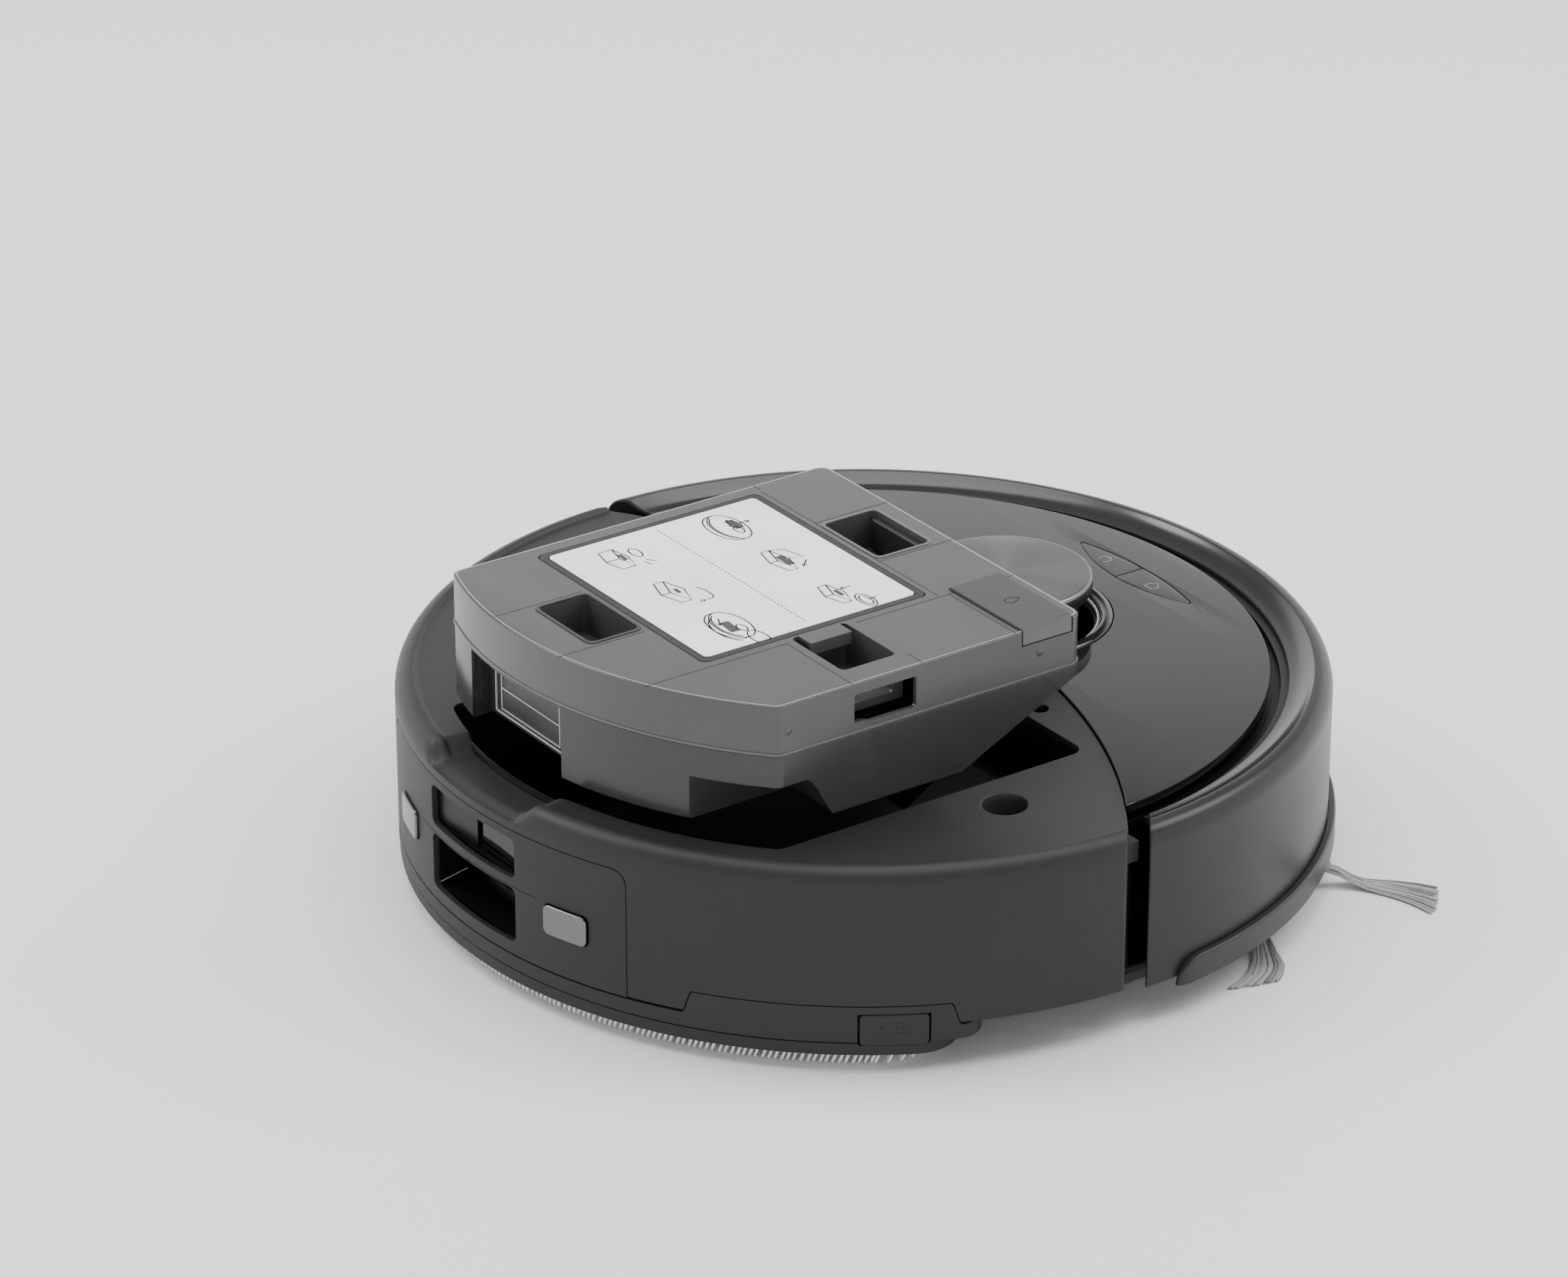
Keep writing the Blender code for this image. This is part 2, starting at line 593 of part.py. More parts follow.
# ------------------------------------------------------------------ drive wheels and caster
def build_drive(side):
    name = side_name(side)
    suspension = pivot("suspension_" + name, (side * WHEEL_X, ARM_PIVOT_Y, ARM_PIVOT_Z))
    plate_x = sorted((side * 0.1395, side * 0.1475))
    near = arc(0.009, 90, -90, 8)
    far = arc(0.015, -90, -270, 8)
    outline = [(ARM_PIVOT_Y + y, ARM_PIVOT_Z + z) for z, y in near]
    outline += [(WHEEL_Y + y, WHEEL_RADIUS + z) for z, y in far]
    unit = prism("drive_unit_" + name, outline, *plate_x, axis="X")
    motor_x = sorted((side * 0.1470, side * 0.1630))
    join(unit, cylinder("drive_motor", 0.0105, *motor_x, (ARM_PIVOT_Y + 0.010, 0.0455), "X", 24))
    stub_x = sorted((side * 0.1280, side * 0.1400))
    join(unit, cylinder("drive_axle", 0.0040, *stub_x, (WHEEL_Y, WHEEL_RADIUS), "X", 16))
    paint(unit, "black")
    ride(suspension, unit)

    axis = pivot("wheel_axis_" + name, (side * WHEEL_X, WHEEL_Y, WHEEL_RADIUS), suspension)
    half = WHEEL_WIDTH / 2
    hub_profile = [(0.0260, half - 0.001), (0.0260, 0.001 - half), (0.0, 0.001 - half), (0.0, half - 0.001)]
    hub = turned("wheel_hub_" + name, [hub_profile[3], *hub_profile[:3]],
                 (side * WHEEL_X, WHEEL_Y, WHEEL_RADIUS), "X", 36)
    bore_x = sorted((side * (0.1280 - GAP), side * 0.1420))
    cut(hub, cylinder("hub_bore", 0.0043, *bore_x, (WHEEL_Y, WHEEL_RADIUS), "X", 16))
    paint(hub, "graphite")
    tyre_profile = [(0.0325, half), (WHEEL_RADIUS, half - 0.0025), (WHEEL_RADIUS, 0.0025 - half),
                    (0.0325, -half), (0.0260 + GAP, -half), (0.0260 + GAP, half)]
    tyre = turned("tyre_" + name, tyre_profile, (side * WHEEL_X, WHEEL_Y, WHEEL_RADIUS), "X", 36)
    paint(tyre, "rubber")
    ride(axis, hub, tyre)


def build_caster():
    swivel = pivot("caster_swivel", (0.0, CASTER_Y, 0.030))
    wheel_y = CASTER_Y + 0.003
    fork = cylinder("caster_fork", 0.0182, 0.0115, 0.0360, (0.0, CASTER_Y), steps=32)
    cut(fork, box("fork_slot", (-0.0082, 0.0082), (CASTER_Y - 0.025, CASTER_Y + 0.025), (0.0, 0.0295)))
    cut(fork, cylinder("fork_pin_hole", 0.0021, -0.0132, 0.0132, (wheel_y, CASTER_WHEEL_RADIUS), "X", 12))
    paint(fork, "graphite")
    ride(swivel, fork)
    wheel_axis = pivot("caster_wheel_axis", (0.0, wheel_y, CASTER_WHEEL_RADIUS), swivel)
    edge, half, pin = CASTER_WHEEL_RADIUS, 0.0075, 0.0018
    profile = [(0.0, 0.0128), (pin, 0.0128), (pin, half), (edge - 0.001, half), (edge, half - 0.001),
               (edge, 0.001 - half), (edge - 0.001, -half), (pin, -half), (pin, -0.0128), (0.0, -0.0128)]
    wheel = turned("caster_wheel", profile, (0.0, wheel_y, CASTER_WHEEL_RADIUS), "X", 24)
    paint(wheel, "rubber")
    ride(wheel_axis, wheel)


# ------------------------------------------------------------------ brushes
def build_main_brush():
    axis = pivot("main_brush_axis", (0.0, BRUSH_Y, BRUSH_Z))
    core, fins = 0.0085, 6
    outline = []
    for fin in range(fins):
        middle = fin * 360 / fins
        outline += [polar(core, middle - 20), polar(core, middle - 9), polar(BRUSH_RADIUS, middle - 3.2),
                    polar(BRUSH_RADIUS, middle + 3.2), polar(core, middle + 9), polar(core, middle + 20)]
    outline = [(BRUSH_Y + y, BRUSH_Z + z) for y, z in outline]
    roller = prism("main_brush", outline, -BRUSH_HALF + 0.002, BRUSH_HALF - 0.002, "X")
    join(roller, cylinder("brush_shaft", 0.0035, -BRUSH_HALF, BRUSH_HALF, (BRUSH_Y, BRUSH_Z), "X", 16))
    paint(roller, "rubber")
    ride(axis, roller)

    outer, inner, start = 0.0265, 0.0243, CHASSIS_TOP + GAP
    arch = arc(outer, 90, 270, 16)
    arch_inner = arc(inner, 90, 270, 16)
    outside = [(BRUSH_Y + y, BRUSH_Z + 0.001 + z) for y, z in arch] + \
        [(BRUSH_Y - outer, start), (BRUSH_Y + outer, start)]
    inside = [(BRUSH_Y + y, BRUSH_Z + 0.001 + z) for y, z in arch_inner] + \
        [(BRUSH_Y - inner, 0.0), (BRUSH_Y + inner, 0.0)]
    housing = prism("brush_housing", outside, -0.0885, 0.0885, "X")
    cut(housing, prism("housing_hollow", inside, -0.0860, 0.0860, "X"))
    cut(housing, box("housing_outlet", (-0.045, 0.015), (BRUSH_Y + 0.012, BRUSH_Y + 0.040), (0.034, 0.060)))
    paint(housing, "black")

    reach = 0.031
    frame = rectangle((-0.0945, 0.0945), (BRUSH_Y - reach, BRUSH_Y + reach))
    slots = []
    for i in range(4):
        x0 = -0.0815 + i * 0.0410
        slots.append(rectangle((x0, x0 + 0.0390), (BRUSH_Y - 0.0225, BRUSH_Y + 0.0225)))
    guard = prism("brush_guard", rounded(frame, 0.004, 3), 0.0106, COVER_PLATE_LOW - GAP, holes=slots)
    sweep = cylinder("guard_clearance", BRUSH_RADIUS + 0.0008, -0.0835, 0.0835, (BRUSH_Y, BRUSH_Z), "X", 40)
    cut(guard, sweep)
    paint(guard, "graphite")


# one tuft of bristles, (radius, lean in degrees): out along one side and back along the other
TUFT_SIDES = [(0.010, -2.5), (0.044, -2.5), (0.066, -11.0), (0.085, -22.0),
              (0.085, -12.0), (0.066, -4.0), (0.044, 2.5), (0.010, 2.5)]


def build_side_brush():
    axis = pivot("side_brush_axis", (*SIDE_BRUSH, 0.010))
    hub = cylinder("side_brush_hub", 0.0110, 0.0052, 0.0240, SIDE_BRUSH, steps=24)
    arms = 5
    tufts = []
    for i in range(arms):
        heading = 36 + i * 360 / arms
        tip, root = polar(0.044, heading, SIDE_BRUSH), polar(0.006, heading, SIDE_BRUSH)
        across = Vector((root[1] - tip[1], tip[0] - root[0])).normalized() * 0.0032
        outline = [(root[0] + across.x, root[1] + across.y), (root[0] - across.x, root[1] - across.y),
                   (tip[0] - across.x, tip[1] - across.y), (tip[0] + across.x, tip[1] + across.y)]
        join(hub, prism("brush_arm", outline, 0.0056, 0.0100))
        tufts += [polar(radius, heading + lean, SIDE_BRUSH) for radius, lean in TUFT_SIDES]
    paint(hub, "black")
    bristles = prism("side_brush_bristles", tufts, 0.0002, 0.0010)
    paint(bristles, "bristle")
    ride(axis, hub, bristles)


# ------------------------------------------------------------------ fan, motors, battery, board
FAN_CENTRE = (0.0960, 0.0800)


def build_inside():
    housing = cylinder("fan_housing", 0.0330, 0.0240, 0.0610, FAN_CENTRE, steps=40)
    duct_x = (0.0570, 0.0700)
    join(housing, box("fan_duct", duct_x, (0.0600, 0.0940), (0.0340, 0.0560)))
    cut(housing, cylinder("fan_hollow", 0.0305, 0.0265, 0.0585, FAN_CENTRE, steps=40))
    cut(housing, box("duct_hollow", (0.0500, 0.0720), (0.0620, 0.0920), (0.0360, 0.0540)))
    cut(housing, cylinder("fan_exhaust", 0.0120, 0.0500, 0.0700, FAN_CENTRE, steps=24))
    paint(housing, "graphite")
    impeller = cylinder("fan_impeller", 0.0280, 0.0310, 0.0335, FAN_CENTRE, steps=32)
    join(impeller, cylinder("impeller_hub", 0.0060, 0.0325, 0.0500, FAN_CENTRE, steps=16))
    blades = 9
    for i in range(blades):
        heading = i * 360 / blades
        root, tip = polar(0.0050, heading, FAN_CENTRE), polar(0.0270, heading + 24, FAN_CENTRE)
        along = Vector((tip[0] - root[0], tip[1] - root[1])).normalized()
        side = Vector((-along.y, along.x)) * 0.0006
        outline = [(root[0] + side.x, root[1] + side.y), (root[0] - side.x, root[1] - side.y),
                   (tip[0] - side.x, tip[1] - side.y), (tip[0] + side.x, tip[1] + side.y)]
        join(impeller, prism("impeller_blade", outline, 0.0325, 0.0460))
    paint(impeller, "ivory")
    ride(pivot("fan_axis", (*FAN_CENTRE, 0.0310)), impeller)

    floor = CHASSIS_TOP + GAP
    paint(soften(box("battery_pack", (0.026, 0.084), (-0.120, -0.079), (floor, 0.0500)), 0.002), "slate")
    board = box("main_board", (-0.080, 0.080), (-0.116, -0.080), (0.0525, 0.0541))
    for x, y, width in ((-0.050, -0.100, 0.016), (-0.020, -0.096, 0.012), (0.035, -0.104, 0.020)):
        join(board, box("board_chip", (x, x + width), (y, y + 0.012), (0.0538, 0.0562)))
    paint(board, "board")
    motor = cylinder("brush_motor", 0.0110, 0.0900, 0.1080, (-0.0620, 0.0345), "X", 24)
    paint(motor, "steel")
    side_motor = cylinder("side_brush_motor", 0.0120, 0.0250, 0.0480, SIDE_BRUSH, steps=24)
    paint(side_motor, "steel")


# ------------------------------------------------------------------ bin
def pocket_block(name, x_range, y_range, low):
    return box(name, (x_range[0] - 0.0016, x_range[1] + 0.0016),
               (y_range[0] - 0.0016, y_range[1] + 0.0016), (low - 0.0016, BIN_TOP - 0.001))


def build_bin(rise):
    """Both halves of the bin, the dust chamber, the filter and the rear port."""
    top = prism("bin_lid_frame", bin_outline(BIN_CLEARANCE), BIN_SEAM, BIN_TOP)
    hollow = prism("frame_hollow", bin_outline(BIN_CLEARANCE + BIN_WALL, 0.0035), 0.05, BIN_TOP - BIN_WALL)
    cut(top, hollow)
    pocket_low = 0.0640
    for y_range in (REAR_POCKET_Y, FRONT_POCKET_Y):
        join(top, pocket_block("pocket_wall", POCKET_X, y_range, pocket_low))
    join(top, pocket_block("latch_wall", LATCH_POCKET_X, LATCH_POCKET_Y, pocket_low))
    cut(top, box("frame_lid_hole", LID_X, LID_Y, (0.0775, 0.09)))
    seat = 0.0035
    cut(top, box("frame_lid_mouth", (LID_X[0] + seat, LID_X[1] - seat), (LID_Y[0] + seat, LID_Y[1] - seat),
                 (0.05, 0.09)))
    for y_range in (REAR_POCKET_Y, FRONT_POCKET_Y):
        cut(top, box("pocket_hollow", POCKET_X, y_range, (pocket_low, 0.09)))
    cut(top, box("latch_hollow", LATCH_POCKET_X, LATCH_POCKET_Y, (pocket_low, 0.09)))
    cut(top, box("latch_window", (-0.12, -0.09), (LATCH_POCKET_Y[0] + 0.002, LATCH_POCKET_Y[1] - 0.002),
                 (0.0650, 0.0740)))
    plug_y = (PLUG_Y[0] - GAP, PLUG_Y[1] + GAP)
    cut(top, box("plug_seat", (PLUG_X[0] - 0.002, PLUG_X[1] + GAP), plug_y, (0.0779, 0.09)))
    cut(top, box("plug_lip_seat", (-0.12, -0.1052), plug_y, (0.0731, 0.09)))
    cut(top, cylinder("fill_hole", 0.0075, 0.07, 0.09, (-0.082, -0.006), steps=24))
    paint(top, "smoke")

    tank = bay_solid("bin_tank", BIN_CLEARANCE, BIN_LOW, BIN_SEAM - GAP)
    cut(tank, box("tank_notch", (-0.13, -0.0810), (0.0880, 0.18), (0.0, BIN_LOW + 0.0170)))
    cut(tank, box("tank_port_recess", (-0.0290, 0.0310), (0.1420, 0.18), (0.0, 0.0585)))
    inner = bay_solid("tank_hollow", BIN_CLEARANCE + BIN_WALL, BIN_LOW + BIN_WALL, 0.08)
    step = BIN_WALL
    cut(inner, box("notch_keep", (-0.14, -0.0810 + step), (0.0880 - step, 0.19), (0.0, BIN_LOW + 0.0170 + step)))
    cut(inner, box("port_keep", (-0.0290 - step, 0.0310 + step), (0.1420 - step, 0.19), (0.0, 0.0700)))
    cut(tank, inner)
    cut(tank, box("tank_port_hole", (-0.0208, 0.0228), (0.1300, 0.16), (0.0347, 0.0558)))
    cut(tank, box("tank_inlet", (-0.0380, 0.0080), (-0.0200, 0.0300), (0.0415, 0.0520)))
    cut(tank, box("tank_air_port", (0.0500, 0.0600), (0.0640, 0.0900), (0.0380, 0.0540)))
    cut(tank, cylinder("tank_valve_hole", 0.0070, 0.04, 0.06, (-0.0940, 0.1090), steps=20))
    paint(tank, "smoke")

    x_range, y_range = (-0.0560, 0.0512), (0.0340, 0.1080)
    chamber = box("dust_chamber", x_range, y_range, (BIN_LOW + BIN_WALL + 0.001, 0.0762))
    inlet = [(0.036, 0.0400), (0.036, 0.0535), (-0.0108, 0.0535), (0.0175, 0.0400)]
    join(chamber, prism("chamber_inlet", inlet, -0.0400, 0.0100, "X"))
    join(chamber, box("chamber_outlet", PORT_DUCT_X, (0.1060, 0.1399), (0.0338, 0.0567)))
    cut(chamber, box("chamber_hollow", (x_range[0] + 0.0015, x_range[1] - 0.0015),
                     (y_range[0] + 0.0015, y_range[1] - 0.0015), (BIN_LOW + BIN_WALL + 0.0025, 0.09)))
    cut(chamber, box("inlet_hollow", (-0.0388, 0.0088), (-0.0200, 0.0400), (0.0412, 0.0523)))
    cut(chamber, box("outlet_hollow", (PORT_DUCT_X[0] + 0.0012, PORT_DUCT_X[1] - 0.0012), (0.1000, 0.1500),
                     (0.0350, 0.0555)))
    cut(chamber, box("chamber_air_port", (0.0450, 0.0560), (0.0640, 0.0900), (0.0380, 0.0540)))
    paint(chamber, "smoke")
    filter_block = box("dust_filter", (0.0385, 0.0490), (0.0400, 0.1020), (0.0360, 0.0740))
    paint(soften(filter_block, 0.0008, 1), "ivory")

    valve = turned("outlet_valve", [(0.0, 0.0572), (0.0045, 0.0572), (0.0062, 0.0560), (0.0066, 0.0500),
                                    (0.0066, 0.0480), (0.0066, 0.0400), (0.0050, 0.0385), (0.0, 0.0385)],
                   (-0.0940, 0.1090, 0.0), steps=24)
    paint(valve, "ivory")

    frame = prism("port_frame", rectangle((-0.0284, 0.0304), (0.0320, 0.0580)), 0.1424, 0.1450, "Y",
                  holes=[rectangle((-0.0200, 0.0220), (0.0350, 0.0550))])
    paint(frame, "slate")
    ride(rise, top, tank, chamber, filter_block, valve, frame)

    hinge = pivot("port_hinge", (0.001, 0.1440, 0.0545), rise)
    flap = box("port_flap", (-0.0196, 0.0216), (0.1440, 0.1460), (0.0354, 0.0546))
    paint(flap, "graphite")
    ride(hinge, flap)


def build_bin_top(rise):
    """The dust lid with its seal and label, the lid's clip, the water plug and the pinch latches."""
    lid_hinge = pivot("lid_hinge", (LID_X[1], sum(LID_Y) / 2, BIN_TOP), rise)
    x0, x1 = LID_X[0] + GAP, LID_X[1] - GAP
    y0, y1 = LID_Y[0] + GAP, LID_Y[1] - GAP
    border = 0.0030
    lid_low, label_low = 0.0786, 0.0790
    lid = box("dust_lid", (x0 + border, x1 - border), (y0 + border, y1 - border), (0.0778, lid_low))
    paint(lid, "slate")
    edge = rounded(rectangle((x0, x1), (y0, y1)), 0.003, 3)
    hole = rounded(rectangle((x0 + border - GAP, x1 - border + GAP), (y0 + border - GAP, y1 - border + GAP)),
                   0.001, 2)
    seal = prism("lid_seal", edge, 0.0778, 0.0791, holes=[hole])
    paint(seal, "rubber")
    card = rounded(rectangle((x0 + border, x1 - border), (y0 + border, y1 - border)), 0.002, 3)
    label = prism("lid_label", card, label_low - 0.0001, label_low + 0.0003)
    paint(label, "paper")
    ride(lid_hinge, lid, seal, label)

    clip_hinge = pivot("lid_latch_hinge", (-0.0660, 0.0645, 0.0780), rise)
    clip = prism("lid_latch", [(-0.0720, 0.0792), (-0.0645, 0.0792), (-0.0645, 0.0776), (-0.0695, 0.0770),
                               (-0.0700, 0.0690), (-0.0720, 0.0690)], 0.0560, 0.0740, "Y")
    paint(clip, "smoke")
    ride(clip_hinge, clip)

    plug_hinge = pivot("plug_hinge", (PLUG_X[1], sum(PLUG_Y) / 2, BIN_TOP), rise)
    plug = box("water_plug", (PLUG_X[0], PLUG_X[1]), PLUG_Y, (0.0782, 0.0800))
    join(plug, cylinder("plug_stem", 0.0055, 0.0745, 0.0790, (-0.082, -0.006), steps=20))
    join(plug, box("plug_lip", (PLUG_X[0] - 0.0010, PLUG_X[0] + 0.0008), PLUG_Y, (0.0735, 0.0798)))
    paint(plug, "slate")
    ride(plug_hinge, plug)

    latch_z = (0.0646, 0.0770)
    for name, y_range in (("release_latch_rear", (REAR_POCKET_Y[1] - 0.0030, REAR_POCKET_Y[1] - GAP)),
                          ("release_latch_front", (FRONT_POCKET_Y[0] + GAP, FRONT_POCKET_Y[0] + 0.0030))):
        latch = box(name, (POCKET_X[0] + 0.002, POCKET_X[1] - 0.002), y_range, latch_z)
        paint(soften(latch, 0.0008, 1), "graphite")
        ride(pivot(name + "_slide", (sum(POCKET_X) / 2, sum(y_range) / 2, 0.070), rise), latch)


# ------------------------------------------------------------------ mop
MOP_ANGLE = math.degrees(math.acos(-MOP_FRONT_Y / BODY_RADIUS))


def build_mop():
    slide = pivot("mop_slide", (0.0, MOP_FRONT_Y, 0.0115))
    half = 180 - MOP_ANGLE
    bracket = prism("mop_bracket", arc(BODY_RADIUS, 180 - half, 180 + half, 36), 0.0118, 0.0175)
    for side in (1, -1):
        wing = sector(0.1718, BODY_RADIUS, side * 114.0, side * 145.5, 8)
        join(bracket, prism("mop_wing", wing, 0.0170, 0.0262))
        pocket = sector(0.1690, 0.1800, side * 117.3, side * 125.9, 4)
        cut(bracket, prism("button_pocket", pocket, 0.0122, 0.0300))
    paint(bracket, "charcoal")
    ride(slide, bracket)
    for side in (1, -1):
        press = sector(0.1722, 0.1756, side * 117.5, side * 125.7, 4)
        button = prism("mop_button_" + side_name(side), press, 0.0126, 0.0258)
        paint(button, "charcoal")
        middle = polar(0.1739, side * 121.6)
        ride(pivot("mop_press_" + side_name(side), (*middle, 0.0190), slide), button)

    pad_half = math.degrees(math.acos(-(MOP_FRONT_Y + 0.001) / 0.1735))
    pad = prism("mop_pad_plate", arc(0.1735, pad_half, 360 - pad_half, 36), 0.0063, 0.0115)
    paint(pad, "charcoal")
    cloth_half = math.degrees(math.acos(-(MOP_FRONT_Y + 0.004) / 0.1680))
    cloth = prism("mop_cloth", arc(0.1680, cloth_half, 360 - cloth_half, 36), 0.0, 0.0060)
    paint(cloth, "cloth")
    ride(slide, pad, cloth)


# ------------------------------------------------------------------ assembly
def build_robot():
    build_chassis()
    build_shell()
    build_contacts()
    build_bay()
    build_front()
    build_buttons()
    build_bumper()
    build_turret()
    for side in (1, -1):
        build_drive(side)
    build_caster()
    build_main_brush()
    build_side_brush()
    build_inside()
    rise = pivot("bin_lift", (0.0, 0.0, 0.0))
    build_bin(rise)
    build_bin_top(rise)
    rise.matrix_basis = Matrix.Translation((0.0, 0.0, BIN_LIFT))
    build_mop()


build_robot()
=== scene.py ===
"""Looks of the robot vacuum: materials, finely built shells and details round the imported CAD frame.

Metres, +Z up, front along -Y, the robot's left along +X. Angles in plan are in degrees from the
front, counted towards the robot's left. The bin's pieces are drawn seated and then raised.
"""
import contextlib
import math
import random

import bmesh
import bpy
from mathutils import Matrix, Vector


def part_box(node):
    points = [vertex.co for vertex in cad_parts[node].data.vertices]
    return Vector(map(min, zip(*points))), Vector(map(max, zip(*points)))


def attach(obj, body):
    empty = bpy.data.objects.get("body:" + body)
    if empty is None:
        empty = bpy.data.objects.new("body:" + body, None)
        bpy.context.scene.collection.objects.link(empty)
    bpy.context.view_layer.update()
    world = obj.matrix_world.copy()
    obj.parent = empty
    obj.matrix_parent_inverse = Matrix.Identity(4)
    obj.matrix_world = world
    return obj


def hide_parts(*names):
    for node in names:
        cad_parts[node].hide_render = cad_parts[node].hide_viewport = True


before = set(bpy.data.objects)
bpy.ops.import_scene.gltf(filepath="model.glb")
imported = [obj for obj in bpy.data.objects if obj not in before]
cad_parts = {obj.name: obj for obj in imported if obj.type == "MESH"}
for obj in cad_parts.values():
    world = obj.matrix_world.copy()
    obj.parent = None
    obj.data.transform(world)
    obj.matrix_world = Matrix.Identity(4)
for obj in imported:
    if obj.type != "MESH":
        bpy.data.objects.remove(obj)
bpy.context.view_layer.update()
random.seed(7)

# ------------------------------------------------------------------ driving dimensions
BODY_RADIUS = 0.175
WALL = 0.0025
GAP = 0.0003
DECK_TOP, CREST_TOP, COVER_TOP = 0.078, 0.0795, 0.079
SHELL_LOW = 0.018
RIM_START = 0.1575           # the wall's sweep takes over from the flat deck here
COVER_RADIUS = 0.1535
BUMPER_INNER = 0.1584
BUMPER_CENTRE_Y = -0.003
SPLIT_RADIUS, SPLIT_CENTRE_Y = 0.281, 0.229
SHELL_FRONT_Y = 0.0098
TURRET_Y, CAP_RADIUS, WELL_RADIUS, TURRET_TOP = -0.067, 0.034, 0.0423, 0.0965
BAY_RIGHT, BAY_LEFT, BAY_FRONT, BAY_RADIUS = -0.1085, 0.0548, -0.0225, 0.1565
BIN_CLEARANCE, BIN_WALL = 0.0011, 0.0018
BIN_TOP, BIN_SEAM, BIN_LOW, BIN_SLOPE_Y = 0.079, 0.060, 0.0304, 0.031
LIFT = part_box("bin_lid_frame")[1].z - BIN_TOP       # how far the bin stands above its seat
LID_X, LID_Y = (-0.063, 0.047), (0.015, 0.114)
POCKET_X, REAR_POCKET_Y, FRONT_POCKET_Y = (-0.026, 0.009), (0.1165, 0.1375), (-0.0125, 0.0110)
POCKET_LOW = 0.0640
LATCH_POCKET_X, LATCH_POCKET_Y = (-0.096, -0.0640), (0.0535, 0.0770)
PLUG_X, PLUG_Y = (-0.1064, -0.0630), (-0.0165, 0.0060)
MOP_FRONT_Y = 0.057
SIDE_BRUSH = (-0.103, -0.090)
BRUSH_Y, BRUSH_Z, BRUSH_RADIUS, BRUSH_HALF = -0.026, 0.0230, 0.0215, 0.083
WHEEL_X, WHEEL_Y, WHEEL_RADIUS, WHEEL_WIDTH = 0.1265, 0.012, 0.034, 0.020
SIDES = ((1, "left"), (-1, "right"))
SHARP = math.radians(35)     # steeper edges than this are rounded


# ------------------------------------------------------------------ materials
def srgb(value):
    """Linear level of an 8-bit display grey."""
    level = value / 255
    return level / 12.92 if level <= 0.04045 else ((level + 0.055) / 1.055) ** 2.4


def grey(value, warm=0.0):
    """A nearly neutral colour; warm shifts it towards red, negative towards blue."""
    return (srgb(value) * (1 + warm), srgb(value), srgb(value) * (1 - warm))


class Paint:
    """A Principled material with noise-driven roughness, tint and bump in the object's own metres."""

    def __init__(self, name, colour, roughness, metallic=0.0, **sockets):
        self.material = bpy.data.materials.new(name)
        self.material.use_nodes = True
        self.tree = self.material.node_tree
        self.shader = self.tree.nodes["Principled BSDF"]
        self.colour, self.roughness = colour, roughness
        self.shader.inputs["Base Color"].default_value = (*colour, 1.0)
        self.shader.inputs["Roughness"].default_value = roughness
        self.shader.inputs["Metallic"].default_value = metallic
        for socket, value in sockets.items():
            self.shader.inputs[socket.replace("_", " ")].default_value = value
        self.place = self.node("ShaderNodeTexCoord").outputs["Object"]
        self.normal = None

    def node(self, kind, **values):
        made = self.tree.nodes.new(kind)
        for key, value in values.items():
            setattr(made, key, value)
        return made

    def link(self, source, target):
        self.tree.links.new(source, target)

    def noise(self, size, detail=3.0, stretch=(1.0, 1.0, 1.0)):
        """Noise whose features are about this many metres wide, stretched along the axes."""
        mapping = self.node("ShaderNodeMapping")
        mapping.inputs["Scale"].default_value = [1 / (size * factor) for factor in stretch]
        self.link(self.place, mapping.inputs["Vector"])
        made = self.node("ShaderNodeTexNoise")
        made.inputs["Scale"].default_value = 1.0
        made.inputs["Detail"].default_value = detail
        self.link(mapping.outputs["Vector"], made.inputs["Vector"])
        return made.outputs["Fac"]

    def vary_roughness(self, source, spread):
        remap = self.node("ShaderNodeMapRange")
        remap.inputs["From Min"].default_value, remap.inputs["From Max"].default_value = 0.1, 0.9
        remap.inputs["To Min"].default_value = self.roughness - spread
        remap.inputs["To Max"].default_value = self.roughness + spread
        self.link(source, remap.inputs["Value"])
        self.link(remap.outputs["Result"], self.shader.inputs["Roughness"])
        return self

    def vary_colour(self, source, spread):
        ramp = self.node("ShaderNodeValToRGB")
        for element, factor, position in zip(ramp.color_ramp.elements, (1 - spread, 1 + spread), (0.3, 0.7)):
            element.position = position
            element.color = (*(min(1.0, channel * factor) for channel in self.colour), 1.0)
        self.link(source, ramp.inputs["Fac"])
        self.link(ramp.outputs["Color"], self.shader.inputs["Base Color"])
        return self

    def bump(self, source, depth, strength=1.0):
        made = self.node("ShaderNodeBump")
        made.inputs["Distance"].default_value = depth
        made.inputs["Strength"].default_value = strength
        self.link(source, made.inputs["Height"])
        if self.normal is not None:
            self.link(self.normal, made.inputs["Normal"])
        self.normal = made.outputs["Normal"]
        self.link(self.normal, self.shader.inputs["Normal"])
        return self


def moulded(name, colour, roughness, grain=0.0006, depth=0.00002, **sockets):
    """Moulded plastic: a fine spark-eroded grain, with slow changes of gloss and tint."""
    paint = Paint(name, colour, roughness, **sockets)
    paint.bump(paint.noise(grain, 4.0), depth, 0.6)
    paint.vary_roughness(paint.noise(0.03, 1.0), 0.015)
    paint.vary_colour(paint.noise(0.035, 3.0), 0.05)
    return paint.material


def polished(name, colour, roughness, **sockets):
    """Polished plastic: no grain, faint cloudy differences of gloss as on a wiped surface."""
    paint = Paint(name, colour, roughness, **sockets)
    paint.vary_roughness(paint.noise(0.05, 1.0), roughness * 0.2)
    paint.vary_colour(paint.noise(0.08, 1.0), 0.04)
    return paint.material


